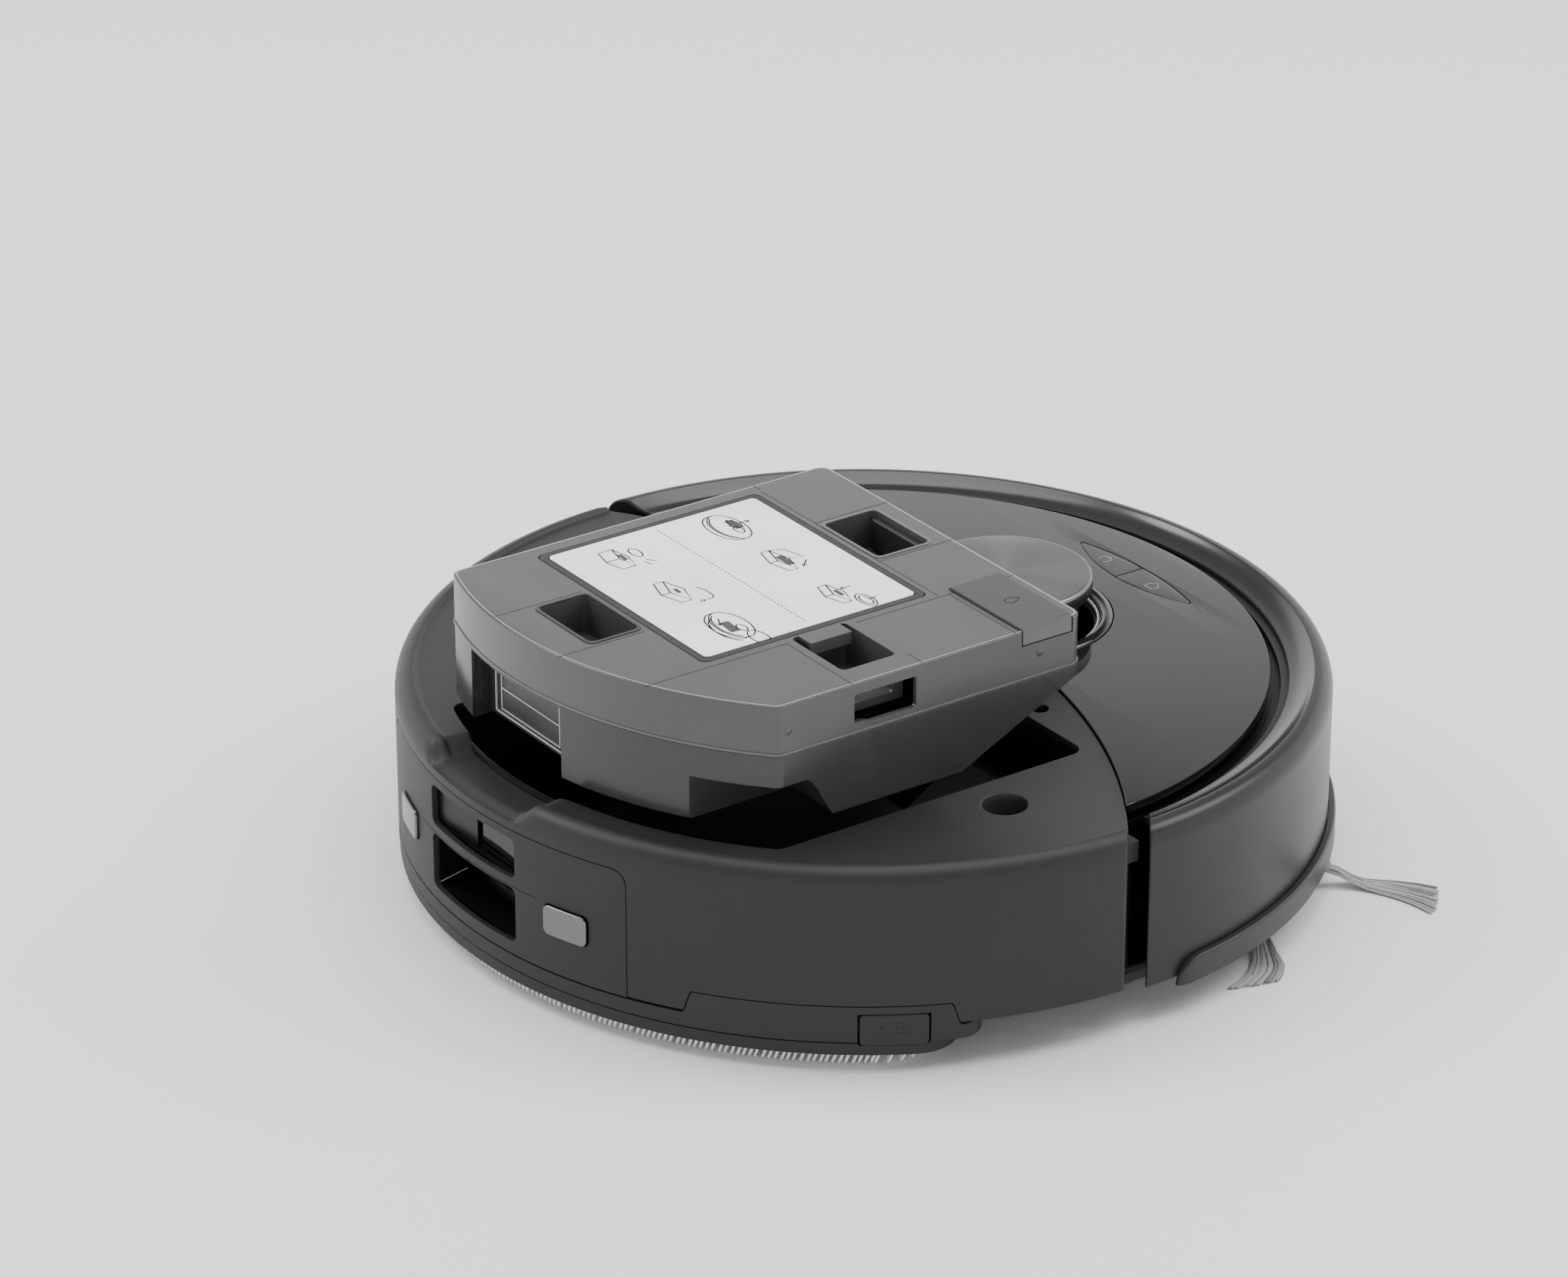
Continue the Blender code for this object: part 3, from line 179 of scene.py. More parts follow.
def smoked(name, colour, roughness, alpha):
    """Smoke-tinted see-through plastic: each of a wall's two faces holds back this share of the light."""
    paint = Paint(name, colour, roughness, Alpha=alpha, Specular_IOR_Level=0.45, Coat_Weight=0.15,
                  Coat_Roughness=0.12)
    paint.vary_colour(paint.noise(0.03, 2.0, (1.0, 1.0, 2.5)), 0.06)
    return paint.material


def spun(name, colour, centre_y):
    """Metal turned on a lathe: rings round the turret's axis and a radial sheen."""
    paint = Paint(name, colour, 0.24, metallic=1.0, Anisotropic=0.92)
    tangent = paint.node("ShaderNodeTangent", direction_type="RADIAL", axis="Z")
    paint.link(tangent.outputs["Tangent"], paint.shader.inputs["Tangent"])
    shift = paint.node("ShaderNodeVectorMath", operation="SUBTRACT")
    shift.inputs[1].default_value = (0.0, centre_y, 0.0)
    paint.link(paint.place, shift.inputs[0])
    flat = paint.node("ShaderNodeVectorMath", operation="MULTIPLY")
    flat.inputs[1].default_value = (1.0, 1.0, 0.0)
    paint.link(shift.outputs["Vector"], flat.inputs[0])
    length = paint.node("ShaderNodeVectorMath", operation="LENGTH")
    paint.link(flat.outputs["Vector"], length.inputs[0])
    rings = paint.node("ShaderNodeTexNoise", noise_dimensions="1D")
    rings.inputs["Scale"].default_value = 9000.0
    rings.inputs["Detail"].default_value = 2.0
    paint.link(length.outputs["Value"], rings.inputs["W"])
    paint.vary_roughness(rings.outputs["Fac"], 0.05)
    paint.vary_colour(rings.outputs["Fac"], 0.12)
    paint.bump(rings.outputs["Fac"], 0.000004, 0.5)
    return paint.material


def woven(name, colour, size):
    """Looped microfibre: soft clumps of pile with a sheen."""
    paint = Paint(name, colour, 0.95, Sheen_Weight=0.4, Sheen_Roughness=0.4)
    cells = paint.node("ShaderNodeTexVoronoi")
    cells.inputs["Scale"].default_value = 1 / size
    paint.link(paint.place, cells.inputs["Vector"])
    paint.bump(cells.outputs["Distance"], size * 0.5, 0.8)
    paint.vary_colour(paint.noise(size * 3, 3.0), 0.10)
    return paint.material


def rubber(name, colour, roughness=0.75):
    paint = Paint(name, colour, roughness)
    paint.bump(paint.noise(0.0008, 5.0), 0.00004, 0.5)
    paint.vary_colour(paint.noise(0.01, 4.0), 0.18)
    paint.vary_roughness(paint.noise(0.006, 3.0), 0.07)
    return paint.material


def brushed(name, colour, roughness, stretch):
    """Metal with straight brush marks along one axis."""
    paint = Paint(name, colour, roughness, metallic=1.0)
    marks = paint.noise(0.0004, 3.0, stretch)
    paint.vary_roughness(marks, 0.06)
    paint.bump(marks, 0.000006, 0.5)
    return paint.material


CHARCOAL = moulded("shell_charcoal", grey(37, -0.01), 0.46, Specular_IOR_Level=0.26)
CHARCOAL_PANEL = moulded("panel_charcoal", grey(36, -0.01), 0.52, 0.0005, 0.00003, Specular_IOR_Level=0.28)
BUMPER_SATIN = moulded("bumper_satin", grey(32, -0.01), 0.34, 0.0010, 0.000004, Specular_IOR_Level=0.30)
BUMPER_CROWN = polished("bumper_crown", grey(32, -0.01), 0.20, Specular_IOR_Level=0.60)
GRAPHITE = moulded("trim_graphite", grey(38), 0.40, Specular_IOR_Level=0.35)
BLACK = moulded("inner_black", grey(10), 0.45, Specular_IOR_Level=0.15)
DIM = moulded("window_dim", grey(17), 0.30, Specular_IOR_Level=0.20)
LEDGE = moulded("ledge_grey", grey(34), 0.50, Specular_IOR_Level=0.25)
GLOSS = polished("cover_gloss", grey(26, -0.01), 0.045, Specular_IOR_Level=0.60)
GLOSS_BLACK = polished("gloss_black", grey(8), 0.07, Specular_IOR_Level=0.35)
SPUN = spun("cap_spun_metal", grey(112), TURRET_Y)
SILVER = brushed("contact_silver", grey(112), 0.22, (6.0, 6.0, 1.0))
STEEL = brushed("motor_steel", grey(170), 0.32, (1.0, 1.0, 6.0))
SMOKE = smoked("bin_smoke", grey(74, -0.02), 0.24, 0.88)
SMOKE_LOW = smoked("bin_smoke_lower", grey(56, -0.05), 0.22, 0.78)
CLEAR = smoked("clear_plastic", grey(96, -0.02), 0.16, 0.80)
SLATE = moulded("plug_slate", grey(62, -0.07), 0.40, 0.0004, 0.00001, Specular_IOR_Level=0.30)
SLATE_DARK = moulded("port_slate", grey(44, -0.04), 0.30, 0.0006, 0.00001, Specular_IOR_Level=0.35)
SEAL = rubber("seal_rubber", grey(36), 0.55)
TYRE = rubber("tyre_rubber", grey(42))
CARD = moulded("label_card", grey(243), 0.38, 0.0010, 0.000004)
INK = moulded("label_ink", grey(14), 0.55, Specular_IOR_Level=0.1)
SHADE = moulded("label_shade", grey(70), 0.55, Specular_IOR_Level=0.2)
IVORY = moulded("ivory_plastic", grey(232, 0.01), 0.40)
ICON = moulded("icon_grey", grey(150), 0.45)
BRISTLE = moulded("bristle_nylon", grey(168), 0.38, 0.0006, 0.00001)
BRISTLE_DARK = moulded("bristle_nylon_dark", grey(96), 0.38, 0.0006, 0.00001)
CLOTH = woven("mop_cloth_fibre", grey(226), 0.0016)
LOOP = woven("mop_fringe_fibre", grey(236), 0.0008)
BOARD = moulded("circuit_mask", (0.012, 0.12, 0.05), 0.35)
FIBRE = woven("filter_paper", grey(225), 0.0010)
# Painted highlight: a pale polished grey for thin lines and rings that stand in for light caught on edges.
EDGE_HIGHLIGHT = polished("painted_edge_highlight", grey(168), 0.18)


# ------------------------------------------------------------------ outlines
def polar(radius, angle, centre=(0.0, 0.0)):
    turn = math.radians(angle)
    return (centre[0] + radius * math.sin(turn), centre[1] - radius * math.cos(turn))


def arc(radius, start, end, steps, centre=(0.0, 0.0)):
    return [polar(radius, start + (end - start) * i / steps, centre) for i in range(steps + 1)]


def circle(radius, centre=(0.0, 0.0), steps=64):
    return arc(radius, 0, 360, steps, centre)[:-1]


def rectangle(x_range, y_range):
    (x0, x1), (y0, y1) = x_range, y_range
    return [(x0, y0), (x1, y0), (x1, y1), (x0, y1)]


def rounded(corners, radius, steps=6):
    """The same polygon with every corner turned into an arc."""
    outline = []
    for i, corner in enumerate(corners):
        corner = Vector(corner)
        back = (Vector(corners[i - 1]) - corner).normalized()
        ahead = (Vector(corners[(i + 1) % len(corners)]) - corner).normalized()
        half = back.angle(ahead) / 2
        centre = corner + (back + ahead).normalized() * (radius / math.sin(half))
        reach = radius / math.tan(half)
        first, last = corner + back * reach - centre, corner + ahead * reach - centre
        start = math.atan2(first.y, first.x)
        sweep = (math.atan2(last.y, last.x) - start + math.pi) % (2 * math.pi) - math.pi
        for k in range(steps + 1):
            turn = start + sweep * k / steps
            outline.append((centre.x + radius * math.cos(turn), centre.y + radius * math.sin(turn)))
    return outline


def tile(x_range, y_range, radius, steps=6):
    return rounded(rectangle(x_range, y_range), radius, steps)


def sector(inner, outer, start, end, steps, centre=(0.0, 0.0)):
    return arc(outer, start, end, steps, centre) + arc(inner, end, start, steps, centre)


def ellipse_arc(centre, radii, start, end, steps):
    """Points of a profile round a corner; angles in degrees from outwards to up."""
    turns = [math.radians(start + (end - start) * i / steps) for i in range(steps + 1)]
    return [(centre[0] + radii[0] * math.cos(t), centre[1] + radii[1] * math.sin(t)) for t in turns]


def smooth(value):
    value = min(1.0, max(0.0, value))
    return value * value * (3 - 2 * value)


def split_crossing(radius, split_radius):
    y = (SPLIT_CENTRE_Y ** 2 + radius ** 2 - split_radius ** 2) / (2 * SPLIT_CENTRE_Y)
    return math.degrees(math.acos(-y / radius))


def split_arc(split_radius, half_width, steps):
    half_angle = math.degrees(math.asin(half_width / split_radius))
    return arc(split_radius, half_angle, -half_angle, steps, (0.0, SPLIT_CENTRE_Y))


def bin_outline(inset, corner_radius=0.005, steps=48):
    right, left, front = BAY_RIGHT + inset, BAY_LEFT - inset, BAY_FRONT + inset
    radius = BAY_RADIUS - inset
    start = 180 - math.degrees(math.asin(left / radius))
    end = 180 + math.degrees(math.asin(-right / radius))
    rear = arc(radius, start, end, steps)
    corners = [(right, front), (left, front), rear[0], rear[1], rear[-2], rear[-1]]
    turned = rounded(corners, corner_radius)
    per_corner = len(turned) // 6
    left_rear, right_rear = turned[2 * per_corner:3 * per_corner], turned[5 * per_corner:]
    return turned[:2 * per_corner] + left_rear + rear[3:-3] + right_rear


def bin_side(inset, low, top):
    """Side view (y, z) of the bin: flat floor, front face sloping forward and up."""
    front, rear = BAY_FRONT + inset, BAY_RADIUS - inset
    slope_top = BIN_SEAM - 0.003 - inset
    return [(rear + 0.02, low), (rear + 0.02, top), (front - 0.02, top), (front - 0.02, slope_top),
            (front, slope_top), (BIN_SLOPE_Y + inset, low)]


# ------------------------------------------------------------------ mesh building
MERGE = 1e-6                 # vertices closer than this become one
AXES = {
    "X": Matrix(((0, 0, 1), (1, 0, 0), (0, 1, 0))),    # outlines are (y, z)
    "Y": Matrix(((1, 0, 0), (0, 0, -1), (0, 1, 0))),   # outlines are (x, z)
    "Z": Matrix.Identity(3),                           # outlines are (x, y)
}


def across(axis, low, high):
    """The turn and shift that take a flat outline to the middle of its thickness along an axis."""
    spot = [0.0, 0.0, 0.0]
    spot["XYZ".index(axis)] = (low + high) / 2
    return Matrix.Translation(spot) @ AXES[axis].to_4x4()


def placed(name, data):
    """A new object in the scene that holds this data."""
    thing = bpy.data.objects.new(name, data)
    bpy.context.scene.collection.objects.link(thing)
    return thing


@contextlib.contextmanager
def editing(mesh):
    """The mesh opened for bmesh operators, and written back afterwards."""
    work = bmesh.new()
    work.from_mesh(mesh)
    yield work
    work.to_mesh(mesh)
    work.free()


def shown(name, vertices, faces):
    """A mesh object in the row frame, its faces turned outwards."""
    mesh = bpy.data.meshes.new(name)
    mesh.from_pydata([tuple(v) for v in vertices], [], faces)
    tidy_mesh(mesh)
    return placed(name, mesh)


def tidy_mesh(mesh):
    with editing(mesh) as work:
        bmesh.ops.remove_doubles(work, verts=work.verts, dist=MERGE)
        bmesh.ops.recalc_face_normals(work, faces=work.faces)


def skinned(name, strips, closed=False):
    """Each strip is a row of rings of points, joined ring to ring; an open strip is capped at both ends."""
    vertices, faces = [], []
    for rings in strips:
        base, count = len(vertices), len(rings[0])
        vertices += [point for ring in rings for point in ring]
        for i in range(len(rings) if closed else len(rings) - 1):
            here, there = base + i * count, base + (i + 1) % len(rings) * count
            for j in range(count):
                k = (j + 1) % count
                faces.append((here + j, here + k, there + k, there + j))
        if not closed:
            faces += [tuple(range(base, base + count)), tuple(range(len(vertices) - count, len(vertices)))]
    return shown(name, vertices, faces)


def prism(name, outline, low, high, axis="Z", holes=(), bevel=0.0, segments=2):
    """A flat outline, with holes, given thickness along an axis, its edges rounded by a bevel."""
    curve = bpy.data.curves.new(name, "CURVE")
    curve.dimensions = "2D"
    curve.fill_mode = "BOTH"
    curve.extrude = (high - low) / 2
    for points in (outline, *holes):
        spline = curve.splines.new("POLY")
        spline.points.add(len(points) - 1)
        for point, (u, v) in zip(spline.points, points):
            point.co = (u, v, 0.0, 1.0)
        spline.use_cyclic_u = True
    guide = placed(name + "_outline", curve)
    mesh = bpy.data.meshes.new_from_object(guide.evaluated_get(bpy.context.evaluated_depsgraph_get()))
    bpy.data.objects.remove(guide, do_unlink=True)
    mesh.transform(across(axis, low, high))
    mesh.name = name
    tidy_mesh(mesh)
    piece = placed(name, mesh)
    return soften(piece, bevel, segments) if bevel else piece


def box(name, x_range, y_range, z_range, bevel=0.0, segments=2):
    return prism(name, rectangle(x_range, y_range), *z_range, bevel=bevel, segments=segments)


def spread(start, end, steps):
    return [start + (end - start) * i / steps for i in range(steps + 1)]


def sweep(name, profile_at, angles, full=False, centre=(0.0, 0.0)):
    """A closed (radius, height) profile carried round a vertical axis; it may change with the angle."""
    rings = [[(*polar(radius, angle, centre), height) for radius, height in profile_at(angle)]
            for angle in angles]
    return skinned(name, [rings], closed=full)


def turned(name, profile, centre=(0.0, 0.0, 0.0), axis="Z", steps=128):
    """A turned body from (radius, height) points; a profile that starts on the axis is closed there."""
    piece = sweep(name, lambda angle: profile, spread(0, 360, steps)[:-1], full=True)
    piece.data.transform(Matrix.Translation(centre) @ AXES[axis].to_4x4())
    return piece


def cylinder(name, radius, low, high, centre=(0.0, 0.0), axis="Z", steps=48, bevel=0.0):
    piece = prism(name, circle(radius, centre, steps), low, high, axis)
    return soften(piece, bevel) if bevel else piece


def tubes(name, paths, radius, sides=6, taper=1.0, closed=False):
    """Round strands along the given paths, as one mesh; taper is the tip's share of the radius."""
    strips = []
    for path in paths:
        points, rings = [Vector(point) for point in path], []
        for i, point in enumerate(points):
            behind = points[i - 1] if i or closed else point
            ahead = points[(i + 1) % len(points)] if i < len(points) - 1 or closed else point
            along = (ahead - behind).normalized()
            side = along.cross(Vector((0.0, 0.0, 1.0)))
            side = side.normalized() if side.length > 1e-6 else Vector((1.0, 0.0, 0.0))
            up = side.cross(along)
            size = radius * (1 + (taper - 1) * i / (len(points) - 1))
            turns = [2 * math.pi * k / sides for k in range(sides)]
            rings.append([point + (side * math.cos(turn) + up * math.sin(turn)) * size for turn in turns])
        strips.append(rings)
    return skinned(name, strips, closed)


def ribbons(name, strokes, width, height, thickness=0.00006):
    """Printed or raised lines: each stroke is a list of (x, y) points drawn with this width."""
    strips = []
    for stroke in strokes:
        points, rings = [Vector(point) for point in stroke], []
        for i, point in enumerate(points):
            along = (points[min(i + 1, len(points) - 1)] - points[max(i - 1, 0)]).normalized()
            side = Vector((-along.y, along.x)) * (width / 2)
            rings.append([(*(point + offset), height + level) for offset, level in
                          ((side, 0.0), (-side, 0.0), (-side, thickness), (side, thickness))])
        strips.append(rings)
    return skinned(name, strips)


def settle(piece):
    """Apply the modifiers."""
    evaluated = piece.evaluated_get(bpy.context.evaluated_depsgraph_get())
    mesh = bpy.data.meshes.new_from_object(evaluated)
    piece.modifiers.clear()
    piece.data = mesh
    return piece


def soften(piece, width, segments=2):
    bevel = piece.modifiers.new("edges", "BEVEL")
    bevel.width = width
    bevel.segments = segments
    bevel.limit_method = "ANGLE"
    bevel.angle_limit = SHARP
    bevel.use_clamp_overlap = False
    bevel.harden_normals = False
    return settle(piece)


def rounded_edges(piece, width, wanted, segments=2):
    """Round only the sharp edges whose middle passes the test."""
    with editing(piece.data) as work:
        bmesh.ops.remove_doubles(work, verts=work.verts, dist=MERGE)
        chosen = [edge for edge in work.edges if len(edge.link_faces) == 2
                  and edge.calc_face_angle(0.0) > SHARP
                  and wanted((edge.verts[0].co + edge.verts[1].co) / 2)]
        bmesh.ops.bevel(work, geom=chosen, offset=width, segments=segments, profile=0.5, affect="EDGES",
                        clamp_overlap=False)


def combine(piece, operation, tools):
    for tool in tools:
        change = piece.modifiers.new(operation.lower(), "BOOLEAN")
        change.operation = operation
        change.object = tool
        settle(piece)
        bpy.data.objects.remove(tool, do_unlink=True)
    return piece


def cut(piece, *tools):
    return combine(piece, "DIFFERENCE", tools)


def join(piece, *tools):
    return combine(piece, "UNION", tools)


def keep(piece, tool):
    return combine(piece, "INTERSECT", [tool])


def merged(name, pieces):
    """Several meshes as one object, without a Boolean."""
    mesh = bpy.data.meshes.new(name)
    with editing(mesh) as work:
        for piece in pieces:
            work.from_mesh(piece.data)
            bpy.data.objects.remove(piece, do_unlink=True)
    return placed(name, mesh)


def wrapped(piece, columns=0.004):
    """Bend a plate round the body: x runs along the wall from the middle of the back, y is the radius."""
    with editing(piece.data) as work:
        xs = [vertex.co.x for vertex in work.verts]
        low, high = min(xs), max(xs)
        count = max(1, int((high - low) / columns))
        for i in range(1, count):
            level = low + (high - low) * i / count
            geometry = work.verts[:] + work.edges[:] + work.faces[:]
            bmesh.ops.bisect_plane(work, geom=geometry, dist=1e-7, plane_co=(level, 0, 0), plane_no=(1, 0, 0))
        for vertex in work.verts:
            vertex.co.x, vertex.co.y = polar(vertex.co.y, 180 - math.degrees(vertex.co.x / BODY_RADIUS))
    return piece


def show(piece, body, paint, replaces=(), angle=32):
    """Finish a piece: material, shading, the body that it rides on and the nodes it stands for."""
    piece.data.materials.clear()
    piece.data.materials.append(paint)
    piece.data.shade_smooth()
    piece.data.set_sharp_from_angle(angle=math.radians(angle))
    weigh = piece.modifiers.new("normals", "WEIGHTED_NORMAL")
    weigh.keep_sharp = True
    weigh.weight = 50
    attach(piece, body)
    if replaces:
        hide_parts(*replaces)
    return piece


def lifted(piece):
    piece.data.transform(Matrix.Translation((0.0, 0.0, LIFT)))
    return piece


# ------------------------------------------------------------------ rear shell
SCOOP_HALF, SCOOP_RAMP, SCOOP_TOP = 0.026, 0.010, 0.0735
RECESS, SMALL_HOLE = (-0.126, 0.027, 0.0), (-0.072, -0.030, 0.0)
DECK_CUT = (0.07, 0.09)      # heights of the cutters that pass through the deck
END_EASE = 8.0               # degrees over which a wall's end eases into its slant
SHELL_END = math.degrees(math.acos(-SHELL_FRONT_Y / BODY_RADIUS))


def end_inset(distance, radius):
    """How far a surface draws in this close to an end, for an edge rounded to this radius."""
    if distance >= radius:
        return 0.0
    return radius - math.sqrt(radius ** 2 - (radius - distance) ** 2)


def end_angles(start, end, steps, radius=0.0015):
    """Evenly spread angles, with more of them next to both ends."""
    close = [math.degrees(radius * part / BODY_RADIUS) for part in (0.0, 0.05, 0.18, 0.4, 0.7, 1.0)]
    way = 1 if end > start else -1
    inner = spread(start + way * close[-1], end - way * close[-1], steps)
    return [start + way * c for c in close[:-1]] + inner + [end - way * c for c in reversed(close[:-1])]


def scoop_share(angle):
    """1 in the finger scoop at the back of the rim, 0 outside it, S-shaped between."""
    along = abs(math.radians(angle - 180)) * BODY_RADIUS
    return 1 - smooth((along - SCOOP_HALF) / SCOOP_RAMP)


def shell_profile(angle):
    share = scoop_share(angle)
    near = min(abs(angle - SHELL_END), abs(360 - SHELL_END - angle))
    inset = end_inset(math.radians(near) * BODY_RADIUS, 0.0012)
    outer = [(RIM_START, DECK_TOP), (0.1610, DECK_TOP), (0.1655, DECK_TOP), (0.1663, 0.0781),
            (0.1668, 0.0785), (0.1672, 0.0790), (0.1676, 0.0794), (0.1680, CREST_TOP)]
    outer += ellipse_arc((0.168, 0.0705), (0.007 - inset, 0.009 - inset), 84, 0, 14)
    lowered = []
    for radius, height in outer:
        floor = SCOOP_TOP - 0.0016 * smooth((radius - 0.1690) / 0.0062)
        lowered.append((radius, height - share * max(0.0, height - floor)))
    side = BODY_RADIUS - inset
    under = DECK_TOP - 0.0024 - share * 0.0046
    wall = [(side, 0.0600), (side, 0.0400), (side, SHELL_LOW + 0.0010), (side - 0.0003, SHELL_LOW + 0.0003),
            (side - 0.0010, SHELL_LOW), (BODY_RADIUS - WALL, SHELL_LOW), (BODY_RADIUS - WALL, 0.0655),
            (0.1700, 0.0690), (0.1660, under), (RIM_START, under)]
    return lowered + wall


def panel_outline(grow):
    """The rear panel's outline on the unrolled wall."""
    half, top, corner = 0.0794 + grow, 0.0685 + grow, 0.006
    upper = [(half, SHELL_LOW - (0.01 if grow else 0.0)), (half, top - corner)]
    upper += [(half - corner + corner * math.cos(math.radians(a)),
               top - corner + corner * math.sin(math.radians(a))) for a in range(15, 91, 15)]
    return upper + [(-x, z) for x, z in reversed(upper)]


def follow_split(piece, end, split_radius):
    """Move a swept wall's two ends onto an arc like the deck's front edge."""
    for vertex in piece.data.vertices:
        radius = math.hypot(vertex.co.x, vertex.co.y)
        angle = math.degrees(math.atan2(abs(vertex.co.x), -vertex.co.y))
        share = 1 - smooth(abs(angle - end) / END_EASE)
        moved = angle - share * (end - split_crossing(min(radius, BODY_RADIUS), split_radius))
        x, y = polar(radius, moved)
        vertex.co.x, vertex.co.y = math.copysign(x, vertex.co.x), y


def scoop_side(top_z):
    """Back view of the finger scoop: flat bottom with S-shaped ramps."""
    rise = [(SCOOP_HALF + SCOOP_RAMP * i / 12, SCOOP_TOP + (top_z - SCOOP_TOP) * smooth(i / 12))
            for i in range(13)]
    left = rise + [(SCOOP_HALF + SCOOP_RAMP, top_z + 0.01)]
    return left + [(-x, z) for x, z in reversed(left)]


def wing_shape(name, side, low, high, grow, inner, outer):
    """The mop plate's raised wing beside its button, as a bent block; its ends rise in S-curves."""
    base, run = 0.0175 + grow, 0.0040
    start, end = (math.radians(turn) * BODY_RADIUS for turn in (34.5, 65.0))   # from the robot's back
    start, end = start - grow, end + grow
    outline = [(start - run, low)]
    outline += [(start - run + run * i / 8, base + (high - base) * smooth(i / 8)) for i in range(9)]
    outline += [(end + run * i / 8, high - (high - base) * smooth(i / 8)) for i in range(9)]
    outline += [(end + run, low)]
    outline = [(side * along, height) for along, height in outline]
    return wrapped(prism(name, outline, inner, outer, "Y"), 0.003)


def build_shell():
    wall = sweep("shell_wall", shell_profile, end_angles(SHELL_END, 360 - SHELL_END, 280))
    follow_split(wall, SHELL_END, SPLIT_RADIUS)
    cut(wall, wrapped(prism("panel_seam", panel_outline(0.00035), 0.160, 0.190, "Y")))
    for side in (1, -1):
        cut(wall, wing_shape("wall_notch", side, 0.005, 0.0266, 0.0003, 0.160, 0.190))
    show(wall, "chassis", CHARCOAL, ["rear_shell"], 38)

    half_width, ahead = 0.170, -0.20
    front_zone = [(half_width, ahead)] + split_arc(SPLIT_RADIUS, half_width, 120) + [(-half_width, ahead)]
    deck = prism("shell_deck", circle(RIM_START, steps=288), DECK_TOP - 0.0024, DECK_TOP)
    cut(deck, prism("deck_front", front_zone, 0.0, 0.1),
        prism("deck_bay", bin_outline(0.0), 0.0, 0.1),
        cylinder("deck_well", WELL_RADIUS, *DECK_CUT, (0.0, TURRET_Y), steps=96),
        prism("deck_scoop", scoop_side(CREST_TOP), 0.150, 0.190, "Y"),
        turned("deck_recess", [(0.0, 0.0900), (0.0100, 0.0900), (0.0088, 0.0784), (0.0082, 0.0774),
                               (0.0066, 0.0700), (0.0, 0.0700)], RECESS, steps=48),
        cylinder("deck_hole", 0.0031, *DECK_CUT, SMALL_HOLE[:2], steps=32))
    inside_rim = RIM_START - 0.0004
    rounded_edges(deck, 0.00035, lambda at: at.z > DECK_TOP - 1e-5 and math.hypot(at.x, at.y) < inside_rim)
    show(deck, "chassis", CHARCOAL, ["rear_shell"], 38)

    cup = [(0.0, 0.0693), (0.0060, 0.0693), (0.0067, 0.0702), (0.0078, 0.0755), (0.0086, 0.0755),
           (0.0076, 0.0688), (0.0, 0.0685)]
    show(turned("recess_cup", cup, RECESS, steps=48), "chassis", CHARCOAL)
    cup = [(0.0, 0.0720), (0.0034, 0.0720), (0.0034, 0.0755), (0.0044, 0.0755), (0.0044, 0.0710),
            (0.0, 0.0710)]
    show(turned("hole_cup", cup, SMALL_HOLE, steps=32), "chassis", BLACK)


WINDOW_HALF = 0.0279
UPPER_WINDOW, LOWER_WINDOW = (0.0490, 0.0650), (0.0230, 0.0450)
CONTACT_ALONG = math.radians(17.4) * BODY_RADIUS


def contact_outline(middle, grow):
    corners = rectangle((middle - 0.0099 - grow, middle + 0.0099 + grow), (0.0336 - grow, 0.0455 + grow))
    return rounded(corners, 0.0026, 6)


def build_panel():
    holes = [tile((-WINDOW_HALF, WINDOW_HALF), levels, 0.003, 6)
             for levels in (UPPER_WINDOW, LOWER_WINDOW)]
    holes += [contact_outline(side * CONTACT_ALONG, 0.00025) for side in (1, -1)]
    plate = prism("back_panel", panel_outline(0.0), BODY_RADIUS - WALL, BODY_RADIUS, "Y", holes,
                  bevel=0.0003)
    show(wrapped(plate), "chassis", CHARCOAL_PANEL, ["rear_panel"], 38)
    for side, name in SIDES:
        contact = prism("contact_" + name, contact_outline(side * CONTACT_ALONG, 0.0), 0.1700, 0.1764, "Y",
                        bevel=0.0007, segments=4)
        show(wrapped(contact, 0.002), "chassis", SILVER,
             ["charging_contact_" + name], 40)

    # what shows inside the two windows
    for name, levels in (("upper", (0.0484, 0.0656)), ("lower", (0.0224, 0.0456))):
        outer = rectangle((-0.0300, 0.0300), levels)
        inner = rectangle((-0.0280, 0.0280), (levels[0] + 0.0006, levels[1] - 0.0006))
        duct = prism("window_duct_" + name, outer, 0.1585, 0.1712, "Y", [inner])
        show(duct, "chassis", BLACK)
    blind = prism("window_blind", tile((0.0006, 0.0277), (0.0493, 0.0647), 0.0008, 3), 0.1690, 0.1702,
                  "Y", bevel=0.0002)
    show(blind, "chassis", DIM)
    sensor = prism("window_sensor", tile((-0.0276, 0.0000), (0.0495, 0.0645), 0.0024, 6), 0.1660, 0.1690,
                   "Y", bevel=0.0006, segments=3)
    show(sensor, "chassis", GLOSS_BLACK)
    cheek = prism("window_cheek", rectangle((0.1588, 0.1708), (0.0246, 0.0446)), 0.0268, 0.0277, "X",
            bevel=0.0002)
    show(cheek, "chassis", DIM)
    # Painted highlight: a thin pale tube along the bottom edge of the lower window's tunnel wall stands in
    # for light on that rounded edge.
    highlight_tube = tubes("window_edge_highlight", [[(0.0266, 0.1706, 0.0240), (0.0266, 0.1590, 0.0262)]], 0.00022, sides=6)
    show(highlight_tube, "chassis", EDGE_HIGHLIGHT)


# ------------------------------------------------------------------ front cover, frame and buttons
BUTTON_OUTER, BUTTON_INNER_Y, BUTTON_HALF = 0.136, -0.122, 0.034
LEDGE_TOP = 0.0735


